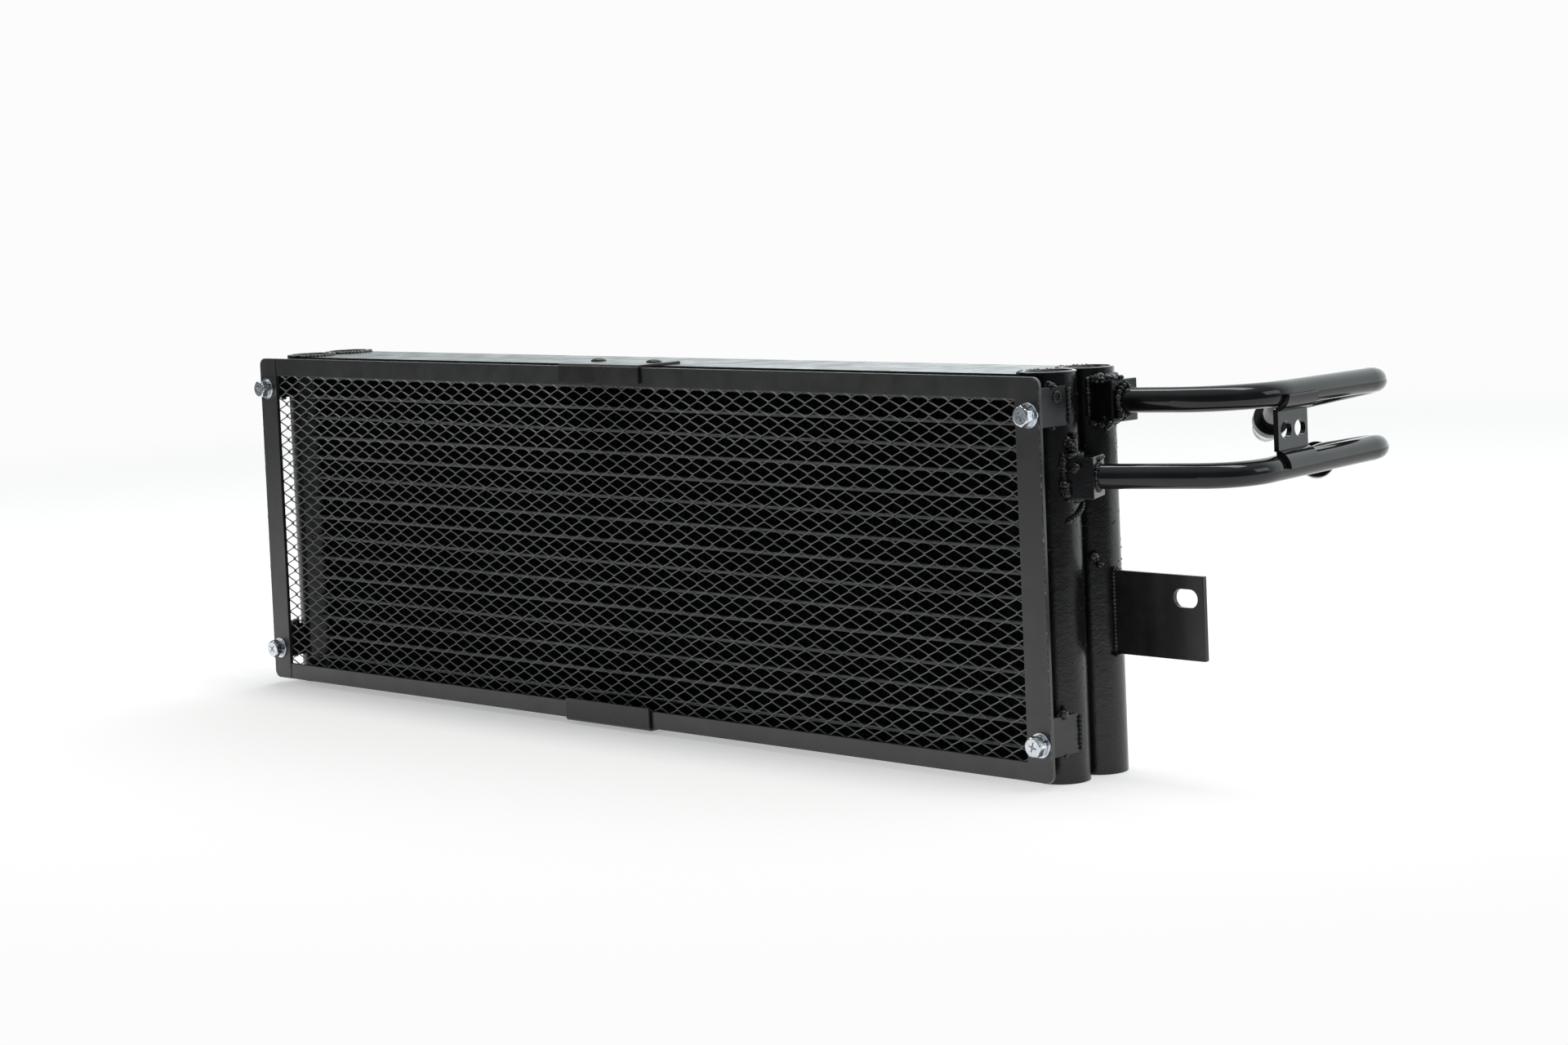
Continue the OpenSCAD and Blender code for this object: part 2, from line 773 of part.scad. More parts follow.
// Shoulder and nose that take the hose, from the pipe's end outward
module end_fitting(p, d) {
    place() aim(p, d) difference() {
        union() {
            color(paint) cylinder(h = shoulder_len, r = shoulder_d / 2);
            color(bare) cylinder(h = shoulder_len + nose_len - nose_chamfer, r = nose_d / 2);
            color(bare) translate([0, 0, shoulder_len + nose_len - nose_chamfer])
                cylinder(h = nose_chamfer, r1 = nose_d / 2, r2 = nose_d / 2 - nose_chamfer);
        }
        translate([0, 0, -eps]) cylinder(h = shoulder_len + nose_len + 2 * eps, r = pipe_bore_r);
    }
}

module inlet_end_fitting() {
    end_fitting(inlet_end, inlet_stub_dir);
}

module outlet_end_fitting() {
    end_fitting(outlet_end, outlet_stub_dir);
}

// A quarter ring that hugs the outer side of a pipe, from start degrees up from level
module saddle(p, rise, start) {
    translate(p) rotate([rise, 0, 0]) translate([0, tie_w / 2, 0]) rotate([90, 0, 0])
        rotate([0, 0, start]) rotate_extrude(angle = 90)
            translate([saddle_r, 0]) square([tie_saddle_t, tie_w]);
}

// Web with two holes between the long legs, and a saddle on each pipe
module pipe_tie_bracket() {
    upper = leg_point(inlet_corner, inlet_rise, tie_y);
    lower = leg_point(outlet_corner, outlet_rise, tie_y);
    web_low_z = lower[2] + saddle_r + tie_saddle_t / 2;
    web_high_z = upper[2] - saddle_r - tie_saddle_t / 2;
    hole_z = (web_low_z + web_high_z) / 2;
    color(paint) place() difference() {
        union() {
            translate([pipe_x - tie_web_t / 2, tie_y - tie_w / 2, web_low_z])
                cube([tie_web_t, tie_w, web_high_z - web_low_z]);
            saddle(upper, inlet_rise, -90);
            saddle(lower, outlet_rise, 0);
        }
        for (s = [-1, 1])
            translate([pipe_x - tie_web_t, tie_y + s * tie_hole_pitch / 2, hole_z])
                rotate([0, 90, 0]) cylinder(h = 2 * tie_web_t, r = tie_hole_d / 2);
    }
}

// Plate welded to the rear right header, with a level slot
module mounting_tab() {
    color(paint) place() difference() {
        translate([header_x, rear_row_y - tab_t / 2, tab_low_z])
            cube([tab_edge_x - header_x, tab_t, tab_h]);
        header_cutter(header_x, rear_row_y);
        along_y(rear_row_y - tab_t, rear_row_y + tab_t)
            translate([slot_x, slot_z]) obround(slot_len, slot_w);
    }
}

header_front_left();
header_rear_left();
header_front_right();
header_rear_right();
header_top_caps();
header_bottom_caps();
crossover_bushes();
front_core_tubes();
rear_core_tubes();
front_turbulators();
rear_turbulators();
front_fins();
rear_fins();
top_side_plate();
bottom_side_plate();
guard_top_bar();
guard_bottom_bar();
guard_left_bar();
guard_right_bar();
guard_mesh();
guard_bracket_top_left();
guard_bracket_bottom_left();
guard_bracket_top_right();
guard_bracket_bottom_right();
guard_bolts();
spring_washers();
flat_washers();
top_clip();
bottom_clip();
top_clip_rivets();
bottom_clip_rivets();
inlet_boss_block();
outlet_boss_block();
inlet_pipe();
outlet_pipe();
inlet_end_fitting();
outlet_end_fitting();
pipe_tie_bracket();
mounting_tab();
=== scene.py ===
"""Looks of the hydraulic oil cooler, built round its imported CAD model.

Shapes are drawn in millimetres in the guard's frame: x = 0 at the guard's middle, y = 0 at the face
of its side bars, z = 0 at the floor. The matrix TO_ROW takes them to the row's frame in metres.
"""

import json
import math

import bmesh
import bpy
import numpy as np
from mathutils import Matrix, Vector


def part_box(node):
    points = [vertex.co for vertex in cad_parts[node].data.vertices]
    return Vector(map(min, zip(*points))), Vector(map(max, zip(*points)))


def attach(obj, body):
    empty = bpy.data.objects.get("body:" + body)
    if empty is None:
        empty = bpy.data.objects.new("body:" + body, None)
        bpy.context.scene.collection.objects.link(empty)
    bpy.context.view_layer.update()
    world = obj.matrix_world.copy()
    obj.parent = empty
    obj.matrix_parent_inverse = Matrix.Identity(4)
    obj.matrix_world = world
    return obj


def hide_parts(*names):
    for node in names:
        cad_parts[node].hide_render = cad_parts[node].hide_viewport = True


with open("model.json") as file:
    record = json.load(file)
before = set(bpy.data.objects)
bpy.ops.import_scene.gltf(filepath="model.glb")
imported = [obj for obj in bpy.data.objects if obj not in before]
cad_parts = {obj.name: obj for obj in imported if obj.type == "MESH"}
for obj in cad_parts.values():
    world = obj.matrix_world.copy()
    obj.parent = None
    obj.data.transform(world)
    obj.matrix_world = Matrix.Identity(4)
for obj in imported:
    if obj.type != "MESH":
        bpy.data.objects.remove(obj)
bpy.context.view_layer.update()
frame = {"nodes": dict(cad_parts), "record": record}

LEFT_BAR, RIGHT_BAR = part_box("guard_left_bar"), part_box("guard_right_bar")
TO_ROW = Matrix.Translation(
    ((LEFT_BAR[0].x + RIGHT_BAR[1].x) / 2, LEFT_BAR[0].y, 0)
) @ Matrix.Scale(0.001, 4)
TO_GUARD = TO_ROW.inverted()


def node_box(node):
    """Lowest and highest corner of a CAD node, in the guard's frame in millimetres."""
    low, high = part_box(node)
    return TO_GUARD @ low, TO_GUARD @ high


# ---------------------------------------------------------------- camera and studio

CAMERA_PLACE = (1834.8, -1625.3, 427.7)
CAMERA_YAW, CAMERA_PITCH, CAMERA_ROLL = 45.25, 3.59, -2.42
CAMERA_LENS = 75.29
CAMERA_SHIFT_Y = -0.104

# The room as a light: an axis, the part of it over which the light comes up, and its full strength
ROOM_LIGHTS = (("Y", 0.35, 0.85, 1.7), ("Z", 0.35, 0.95, 0.55))
NEAR_LIGHT = 0.06
ROOM_TINT = (0.92, 0.99, 1.0, 1)
ROOM_WHITE = (0.972, 0.972, 0.972, 1)

# Name, place and target in metres in the row's frame, size in metres, watts and colour
SOFTBOXES = (
    ("overhead", (0.1, 0.2, 2.6), (0.1, 0, 0), (3.0, 0.6), 30, (1, 1, 1)),
    ("front_strip", (-2.2, -1.7, 1.5), (0, 0, 0.15), (0.9, 0.3), 5, (1, 1, 1)),
    ("right_wall", (3.2, 0.9, 1.3), (0.3, 0, 0.15), (1.2, 1.2), 8, (0.95, 0.98, 1)),
)

FLOOR_MIDDLE, FLOOR_RADIUS, FLOOR_SIDES = (-0.85, 0.85), 2.15, 96
FLOOR_PAINT = (0.80, 0.765, 0.755, 1)
# The floor gives off a little light of its own, so that its shadows stay faint
FLOOR_GLOW, FLOOR_GLOW_TINT = 0.345, (0.98, 1, 0.99, 1)
# Part of the floor's radius over which it turns into the room's white
FLOOR_FADE = (0.55, 0.97)


def make_camera():
    """A long lens that looks along the pipes' end of the cooler, slightly down."""
    yaw, pitch, roll = (math.radians(a) for a in (CAMERA_YAW, CAMERA_PITCH, CAMERA_ROLL))
    forward = Vector((-math.sin(yaw) * math.cos(pitch), math.cos(yaw) * math.cos(pitch), -math.sin(pitch)))
    level = Vector((math.cos(yaw), math.sin(yaw), 0))
    rise = level.cross(forward)
    right = math.cos(roll) * level + math.sin(roll) * rise
    up = math.cos(roll) * rise - math.sin(roll) * level
    data = bpy.data.cameras.new("camera")
    data.sensor_width = 36
    data.lens = CAMERA_LENS
    data.shift_y = CAMERA_SHIFT_Y
    data.clip_end = 100
    camera = bpy.data.objects.new("camera", data)
    turn = Matrix((right, up, -forward)).transposed().to_4x4()
    camera.matrix_world = Matrix.Translation(TO_ROW @ Vector(CAMERA_PLACE)) @ turn
    bpy.context.scene.collection.objects.link(camera)
    bpy.context.scene.camera = camera


def make_softbox(name, place, target, size, power, colour):
    """A rectangular soft light at place that faces target."""
    data = bpy.data.lights.new(name, "AREA")
    data.shape = "RECTANGLE"
    data.size, data.size_y = size
    data.energy = power
    data.color = colour
    lamp = bpy.data.objects.new(name, data)
    lamp.location = place
    lamp.rotation_mode = "QUATERNION"
    lamp.rotation_quaternion = (Vector(target) - Vector(place)).to_track_quat("-Z", "Y")
    bpy.context.scene.collection.objects.link(lamp)


def map_range(tree, value, low, high, to_low=0, to_high=1, smooth=False):
    """value, stretched so that low..high becomes to_low..to_high."""
    node = tree.nodes.new("ShaderNodeMapRange")
    if smooth:
        node.interpolation_type = "SMOOTHSTEP"
    for key, number in (("From Min", low), ("From Max", high), ("To Min", to_low), ("To Max", to_high)):
        node.inputs[key].default_value = number
    tree.links.new(value, node.inputs["Value"])
    return node.outputs[0]


def make_world():
    """White to the eye; as a light it is bright behind and overhead, and dark on the near side."""
    world = bpy.data.worlds.new("studio")
    bpy.context.scene.world = world
    world.use_nodes = True
    tree = world.node_tree
    tree.nodes.clear()
    new = tree.nodes.new
    place = new("ShaderNodeTexCoord")
    split = new("ShaderNodeSeparateXYZ")
    tree.links.new(place.outputs["Generated"], split.inputs[0])
    total = new("ShaderNodeMath")
    total.operation = "ADD"
    for socket, (axis, low, high, strength) in zip(total.inputs, ROOM_LIGHTS):
        part = map_range(tree, split.outputs[axis], low, high, NEAR_LIGHT, strength, smooth=True)
        tree.links.new(part, socket)
    light = new("ShaderNodeBackground")
    light.inputs["Color"].default_value = ROOM_TINT
    tree.links.new(total.outputs[0], light.inputs["Strength"])
    seen = new("ShaderNodeBackground")
    seen.inputs["Color"].default_value = ROOM_WHITE
    ray = new("ShaderNodeLightPath")
    mix = new("ShaderNodeMixShader")
    tree.links.new(ray.outputs["Is Camera Ray"], mix.inputs[0])
    tree.links.new(light.outputs[0], mix.inputs[1])
    tree.links.new(seen.outputs[0], mix.inputs[2])
    out = new("ShaderNodeOutputWorld")
    tree.links.new(mix.outputs[0], out.inputs["Surface"])


def floor_material():
    """Matt white with a faint glow, which turns into the white of the room towards the floor's rim."""
    material = bpy.data.materials.new("floor_white")
    material.use_nodes = True
    tree = material.node_tree
    shader = tree.nodes["Principled BSDF"]
    shader.inputs["Base Color"].default_value = FLOOR_PAINT
    shader.inputs["Emission Color"].default_value = FLOOR_GLOW_TINT
    shader.inputs["Emission Strength"].default_value = FLOOR_GLOW
    shader.inputs["Roughness"].default_value = 0.8
    shader.inputs["Specular IOR Level"].default_value = 0.1
    place = tree.nodes.new("ShaderNodeTexCoord")
    reach = tree.nodes.new("ShaderNodeVectorMath")
    reach.operation = "DISTANCE"
    reach.inputs[1].default_value = (*FLOOR_MIDDLE, 0)
    tree.links.new(place.outputs["Object"], reach.inputs[0])
    low, high = (part * FLOOR_RADIUS for part in FLOOR_FADE)
    fade = map_range(tree, reach.outputs["Value"], low, high, smooth=True)
    white = tree.nodes.new("ShaderNodeEmission")
    white.inputs["Color"].default_value = ROOM_WHITE
    mix = tree.nodes.new("ShaderNodeMixShader")
    tree.links.new(fade, mix.inputs[0])
    tree.links.new(shader.outputs[0], mix.inputs[1])
    tree.links.new(white.outputs[0], mix.inputs[2])
    tree.links.new(mix.outputs[0], tree.nodes["Material Output"].inputs["Surface"])
    return material


def make_floor():
    """A plain round floor at the height that the headers stand on."""
    x, y = FLOOR_MIDDLE
    rim = [(x + FLOOR_RADIUS * math.cos(a), y + FLOOR_RADIUS * math.sin(a), 0)
           for a in (2 * math.pi * i / FLOOR_SIDES for i in range(FLOOR_SIDES))]
    mesh = bpy.data.meshes.new("floor")
    mesh.from_pydata(rim, [], [tuple(range(FLOOR_SIDES))])
    mesh.materials.append(floor_material())
    floor = bpy.data.objects.new("floor", mesh)
    bpy.context.scene.collection.objects.link(floor)


def make_studio():
    """Camera, floor, world and soft lights; whites stay plain."""
    bpy.context.scene.view_settings.view_transform = "Standard"
    make_camera()
    make_floor()
    make_world()
    for softbox in SOFTBOXES:
        make_softbox(*softbox)


# ---------------------------------------------------------------- materials


class Paint:
    """Builds one procedural material; lengths in its textures are in millimetres."""

    def __init__(self, name):
        self.material = bpy.data.materials.new(name)
        self.material.use_nodes = True
        self.tree = self.material.node_tree
        self.shader = self.tree.nodes["Principled BSDF"]
        place = self.tree.nodes.new("ShaderNodeTexCoord")
        scale = self.tree.nodes.new("ShaderNodeVectorMath")
        scale.operation = "SCALE"
        scale.inputs["Scale"].default_value = 1000
        self.tree.links.new(place.outputs["Object"], scale.inputs[0])
        self.place = scale.outputs[0]

    def set(self, **values):
        """Plain values straight on the shader's own sockets."""
        for key, value in values.items():
            self.shader.inputs[key.replace("_", " ").title().replace("Ior", "IOR")].default_value = value
        return self

    def noise(self, period, detail, roughness=0.5, squeeze=None):
        """Noise whose lumps are about period millimetres across, and narrower along squeezed axes."""
        node = self.tree.nodes.new("ShaderNodeTexNoise")
        node.inputs["Scale"].default_value = 1 / period
        node.inputs["Detail"].default_value = detail
        node.inputs["Roughness"].default_value = roughness
        source = self.place
        if squeeze:
            scale = self.tree.nodes.new("ShaderNodeVectorMath")
            scale.operation = "MULTIPLY"
            scale.inputs[1].default_value = squeeze
            self.tree.links.new(source, scale.inputs[0])
            source = scale.outputs[0]
        self.tree.links.new(source, node.inputs["Vector"])
        return node.outputs["Fac"]

    def ranged(self, value, low, high, to_low, to_high):
        """value, stretched so that low..high becomes to_low..to_high."""
        return map_range(self.tree, value, low, high, to_low, to_high)

    def mixed(self, factor, first, second):
        """A colour between first and second."""
        node = self.tree.nodes.new("ShaderNodeMix")
        node.data_type = "RGBA"
        self.tree.links.new(factor, node.inputs["Factor"])
        for socket, colour in ((node.inputs[6], first), (node.inputs[7], second)):
            if isinstance(colour, tuple):
                socket.default_value = (*colour, 1)
            else:
                self.tree.links.new(colour, socket)
        return node.outputs[2]

    def colour(self, source):
        """The paint's colour from a node's output."""
        self.tree.links.new(source, self.shader.inputs["Base Color"])
        return self

    def roughness(self, source):
        """The paint's roughness from a node's output."""
        self.tree.links.new(source, self.shader.inputs["Roughness"])
        return self

    def bump(self, *layers):
        """Layers of (height source, depth in millimetres), from coarse to fine."""
        normal = None
        for source, depth in layers:
            node = self.tree.nodes.new("ShaderNodeBump")
            node.inputs["Distance"].default_value = depth * 0.001
            self.tree.links.new(source, node.inputs["Height"])
            if normal is not None:
                self.tree.links.new(normal, node.inputs["Normal"])
            normal = node.outputs[0]
        self.tree.links.new(normal, self.shader.inputs["Normal"])
        return self


def black_gloss(name, base, peel_depth, rough):
    """Gloss black paint over rough steel: orange peel, slow waves and a few dusty patches."""
    paint = Paint(name)
    dust = paint.ranged(paint.noise(60, 4, 0.6), 0.45, 0.75, 0, 1)
    dusty = tuple(2.2 * c + 0.006 for c in base)
    paint.colour(paint.mixed(dust, base, dusty))
    paint.roughness(paint.ranged(paint.noise(25, 5, 0.65), 0.35, 0.7, *rough))
    paint.bump((paint.noise(9, 2), peel_depth * 1.5), (paint.noise(1.7, 4, 0.7), peel_depth * 1.2))
    return paint.set(specular_ior_level=0.5).material


def black_satin(name, base, rough, shine=0.5):
    """Satin black paint: fine grain, slow waves, faint clouds and pale scuffs."""
    paint = Paint(name)
    scuff = paint.ranged(paint.noise(7, 6, 0.75), 0.66, 0.74, 0, 1)
    cloud = paint.ranged(paint.noise(90, 3, 0.6), 0.35, 0.7, 0, 1)
    worn = tuple(1.9 * c + 0.01 for c in base)
    ground = paint.mixed(cloud, base, tuple(1.5 * c for c in base))
    paint.colour(paint.mixed(scuff, ground, worn))
    paint.roughness(paint.ranged(paint.noise(14, 4, 0.6), 0.35, 0.7, *rough))
    paint.bump((paint.noise(24, 3), 0.05), (paint.noise(1.2, 3), 0.008))
    return paint.set(specular_ior_level=shine).material


def tube_black(name):
    """Thin black paint on rolled tube: glossy, with a broken glint along its rounded edge."""
    paint = Paint(name)
    paint.roughness(paint.ranged(paint.noise(9, 4, 0.7, (1, 3, 3)), 0.35, 0.65, 0.12, 0.42))
    paint.bump((paint.noise(7, 3, 0.6, (1, 2, 2)), 0.22), (paint.noise(1.6, 2), 0.05))
    return paint.set(specular_ior_level=0.9, base_color=(0.040, 0.042, 0.045, 1)).material


def bright_zinc(name):
    """Bright zinc plate: cool metal with a soft mottle and a few dull spots."""
    paint = Paint(name)
    mottle = paint.ranged(paint.noise(3, 4, 0.6), 0.35, 0.7, 0, 1)
    paint.colour(paint.mixed(mottle, (0.62, 0.67, 0.74), (0.86, 0.88, 0.90)))
    paint.roughness(paint.ranged(paint.noise(1.4, 4, 0.6), 0.35, 0.7, 0.16, 0.34))
    paint.bump((paint.noise(1.1, 3), 0.02))
    return paint.set(metallic=1.0).material


def turned_steel(name, base):
    """Bare steel with fine machining grain."""
    paint = Paint(name)
    stain = paint.ranged(paint.noise(6, 4, 0.65), 0.4, 0.75, 0, 1)
    paint.colour(paint.mixed(stain, base, tuple(0.6 * c for c in base)))
    paint.roughness(paint.ranged(paint.noise(2, 4, 0.6), 0.3, 0.7, 0.24, 0.42))
    paint.bump((paint.noise(0.5, 2), 0.02))
    return paint.set(metallic=1.0).material


def burr_paint(name):
    """Black paint that has broken off a sharp edge here and there and shows bright steel."""
    paint = Paint(name)
    chip = paint.ranged(paint.noise(3.5, 6, 0.75), 0.50, 0.62, 0, 1)
    paint.colour(paint.mixed(chip, (0.03, 0.03, 0.03), (0.30, 0.29, 0.28)))
    paint.roughness(paint.ranged(chip, 0, 1, 0.2, 0.35))
    return paint.set(specular_ior_level=0.6).material


MATERIALS = {
    "burr": burr_paint("burr_chipped"),
    "weld": black_gloss("weld_gloss", (0.009, 0.009, 0.010), 0.10, (0.07, 0.18)),
    "header_paint": black_gloss("header_gloss", (0.004, 0.004, 0.005), 0.15, (0.07, 0.18)),
    "tube_paint": tube_black("tube_black"),
    "fin_paint": black_satin("fin_black", (0.003, 0.003, 0.004), (0.45, 0.6)),
    "plate_paint": black_gloss("plate_gloss", (0.018, 0.018, 0.019), 0.04, (0.2, 0.34)),
    "guard_paint": black_satin("guard_satin", (0.011, 0.011, 0.011), (0.28, 0.40), 0.9),
    "mesh_paint": black_satin("mesh_satin", (0.072, 0.075, 0.080), (0.28, 0.40), 0.9),
    "bracket_paint": black_gloss("bracket_gloss", (0.014, 0.014, 0.015), 0.02, (0.2, 0.28)),
    "clip_paint": black_gloss("clip_gloss", (0.024, 0.024, 0.023), 0.004, (0.20, 0.32)),
    "pipe_paint": black_gloss("pipe_gloss", (0.006, 0.006, 0.007), 0.010, (0.06, 0.12)),
    "zinc": bright_zinc("zinc_plate"),
    "bare_steel": turned_steel("bare_steel_end", (0.62, 0.61, 0.59)),
    "bare_aluminium": turned_steel("bare_strip", (0.75, 0.75, 0.76)),
}

# ---------------------------------------------------------------- mesh building


def unit(v):
    """v at length 1."""
    return v / np.linalg.norm(v)


def merged(*shapes):
    """Several (points, faces) shapes as one."""
    points, faces, start = [], [], 0
    for shape_points, shape_faces in shapes:
        points.append(np.asarray(shape_points, float).reshape(-1, 3))
        faces.extend([tuple(start + i for i in f) for f in shape_faces])
        start += len(points[-1])
    return np.vstack(points), faces


def placed(shape, matrix):
    """A shape moved by a 4x4 matrix."""
    turn = np.array(matrix, float)
    return np.asarray(shape[0]) @ turn[:3, :3].T + turn[:3, 3], shape[1]


def ring_faces(rings, sides):
    """Faces of a tube of rings, with a cap at each end."""
    faces = []
    for a in range(0, (rings - 1) * sides, sides):
        b = a + sides
        faces += [(a + k, a + (k + 1) % sides, b + (k + 1) % sides, b + k) for k in range(sides)]
    faces.append(tuple(range(sides - 1, -1, -1)))
    faces.append(tuple((rings - 1) * sides + k for k in range(sides)))
    return faces


def tube(path, radii, sides):
    """A round bar along a path, with a radius for each of its points."""
    path = np.asarray(path, float)
    ways = np.gradient(path, axis=0)
    ways /= np.linalg.norm(ways, axis=1)[:, None]
    side = np.cross((0, 0, 1), ways[0])
    if np.linalg.norm(side) < 1e-3:
        side = np.cross((0, 1, 0), ways[0])
    side = unit(side)
    angles = np.linspace(0, 2 * math.pi, sides, endpoint=False)
    rings = []
    for point, way, radius in zip(path, ways, radii):
        side = unit(side - (side @ way) * way)
        rise = np.cross(way, side)
        rings.append(point + radius * (np.cos(angles)[:, None] * side + np.sin(angles)[:, None] * rise))
    return np.vstack(rings), ring_faces(len(path), sides)


def revolved(profile, sides):
    """A (radius, height) outline turned about Z; it closes on itself unless it starts on the axis."""
    angles = np.linspace(0, 2 * math.pi, sides, endpoint=False)
    points, faces, rows = [], [], []
    for radius, height in profile:
        if radius < 1e-6:
            rows.append([len(points)] * sides)
            points.append((0, 0, height))
        else:
            rows.append(list(range(len(points), len(points) + sides)))
            points += [(radius * math.cos(a), radius * math.sin(a), height) for a in angles]
    on_axis = profile[0][0] < 1e-6
    pairs = list(zip(rows[:-1], rows[1:])) + ([] if on_axis else [(rows[-1], rows[0])])
    for low, high in pairs:
        for k in range(sides):
            n = (k + 1) % sides
            face = [low[k], low[n], high[n], high[k]]
            face = [v for i, v in enumerate(face) if v != face[i - 1]]
            if len(face) > 2:
                faces.append(tuple(face))
    return np.array(points, float), faces


def plate(loops, thickness, bevel=0.3, segments=2):
    """A flat plate in XY from z = 0 up, with an outer loop and holes, and bevelled rims."""
    bm = bmesh.new()
    for loop in loops:
        verts = [bm.verts.new((x, y, 0)) for x, y in loop]
        for i, v in enumerate(verts):
            bm.edges.new((verts[i - 1], v))
    if len(loops) == 1:
        bm.faces.new(bm.verts[:])
    else:
        bmesh.ops.triangle_fill(bm, use_beauty=True, use_dissolve=False, edges=bm.edges[:])
        bmesh.ops.dissolve_limit(bm, angle_limit=0.01, verts=bm.verts[:], edges=bm.edges[:])
    grown = bmesh.ops.extrude_face_region(bm, geom=bm.faces[:])["geom"]
    moved = [item for item in grown if isinstance(item, bmesh.types.BMVert)]
    bmesh.ops.translate(bm, vec=(0, 0, thickness), verts=moved)
    bmesh.ops.recalc_face_normals(bm, faces=bm.faces[:])
    rims = [e for e in bm.edges if len(e.link_faces) == 2 and e.calc_face_angle(0) > 0.9
            and abs(e.verts[0].co.z - e.verts[1].co.z) < 1e-6]
    bmesh.ops.bevel(bm, geom=rims, offset=bevel, segments=segments, profile=0.5, affect="EDGES",
                    clamp_overlap=True)
    bm.verts.index_update()
    shape = (np.array([v.co[:] for v in bm.verts]), [tuple(v.index for v in f.verts) for f in bm.faces])
    bm.free()
    return shape


def rectangle(x0, y0, x1, y1, radii=(0, 0, 0, 0)):
    """A rectangle's loop, its corners rounded by radii, from the lower left counter-clockwise."""
    steps = 12
    loop = []
    corners = ((x0, y0, 1, 1, 180), (x1, y0, -1, 1, 270), (x1, y1, -1, -1, 0), (x0, y1, 1, -1, 90))
    for (x, y, dx, dy, start), r in zip(corners, radii):
        if r == 0:
            loop.append((x, y))
            continue
        for i in range(steps + 1):
            a = math.radians(start + 90 * i / steps)
            loop.append((x + dx * r + r * math.cos(a), y + dy * r + r * math.sin(a)))
    return loop


def slot_loop(x, y, length, width):
    """An obround's loop round (x, y), long way along the first axis."""
    steps = 24
    loop = []
    for end in (0, 1):
        cx = x + (length - width) / 2 * (1 if end == 0 else -1)
        for i in range(steps + 1):
            a = math.radians(-90 + 180 * end + 180 * i / steps)
            loop.append((cx + width / 2 * math.cos(a), y + width / 2 * math.sin(a)))
    return loop


# Plates are drawn in XY and thickened along +Z; these stand them up in the guard's frame
FACING_GUARD = Matrix(((1, 0, 0, 0), (0, 0, -1, 0), (0, 1, 0, 0), (0, 0, 0, 1)))
FACING_SIDE = Matrix(((0, 0, 1, 0), (1, 0, 0, 0), (0, 1, 0, 0), (0, 0, 0, 1)))


def facing_guard(shape, back_y):
    """Drawing x, y become guard x, z; the plate grows from back_y towards the viewer."""
    return placed(shape, Matrix.Translation((0, back_y, 0)) @ FACING_GUARD)


def facing_side(shape, x):
    """Drawing x, y become guard y, z; the plate grows from x towards +X."""
    return placed(shape, Matrix.Translation((x, 0, 0)) @ FACING_SIDE)


def bead(path, radius, seed, ripple=0.16, pitch=2.2):
    """A weld bead: a lumpy bar with fish-scale ripples and blunt, tapered ends."""
    step, sides = 0.45, 10
    rng = np.random.default_rng(seed)
    path = np.asarray(path, float)
    steps = np.r_[0, np.cumsum(np.linalg.norm(np.diff(path, axis=0), axis=1))]
    along = np.arange(0, steps[-1], step)
    line = np.stack([np.interp(along, steps, path[:, k]) for k in range(3)], 1)
    wander = np.convolve(rng.normal(0, 1, len(along) + 8), np.ones(9) / 9, "valid")
    size = 1 + ripple * np.sin(2 * math.pi * along / pitch + rng.uniform(0, 6)) + 0.45 * wander
    ends = np.minimum(1, np.sqrt(np.clip((np.minimum(along, steps[-1] - along) + 0.15) / radius, 0, 1)))
    return tube(line, radius * size * ends, sides)


def blob(centre, radii, seed, lumps=0.22, rings=10, sides=14):
    """A lumpy drop of weld metal round a centre."""
    rng = np.random.default_rng(seed)
    waves = rng.normal(0, 1, (5, 3))
    phases = rng.uniform(0, 6.28, 5)
    points, faces = revolved([(math.sin(math.pi * i / rings), -math.cos(math.pi * i / rings))
                              for i in range(rings + 1)], sides)
    swell = 1 + lumps * np.mean([np.sin(2.2 * points @ w + f) for w, f in zip(waves, phases)], 0)
    return points * swell[:, None] * np.asarray(radii, float) + np.asarray(centre, float), faces


def add(name, shape, slot, replaces=(), material=None, sharp=10):
    """Makes a piece from a shape in guard millimetres: shaded, painted, riding on the cooler."""
    mesh = bpy.data.meshes.new(name)
    mesh.from_pydata(np.asarray(shape[0]).tolist(), [], shape[1])
    mesh.transform(TO_ROW)
    mesh.validate()
    mesh.shade_smooth()
    mesh.set_sharp_from_angle(angle=math.radians(sharp))
    mesh.materials.append(material or MATERIALS[slot])
    piece = bpy.data.objects.new(name, mesh)
    bpy.context.scene.collection.objects.link(piece)
    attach(piece, "root")
    if replaces:
        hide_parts(*replaces)
    return piece


# ---------------------------------------------------------------- guard

# One diamond of the sheet, and one strand with its chamfers
MESH_LONG, MESH_SHORT = 18.25, 10.0
STRAND_W, STRAND_T, STRAND_CHAMFER = 0.84, 1.0, 0.22
# From the front of the CAD sheet's box to the strands, how far their ends step, and how they are turned
MESH_MIDDLE, STRAND_STEP, STRAND_TURN = 1.3, 0.55, math.radians(-18)
# Half a bond's height, and how far a strand runs on into it
BOND_HALF, BOND_LAP = 0.32, 0.55


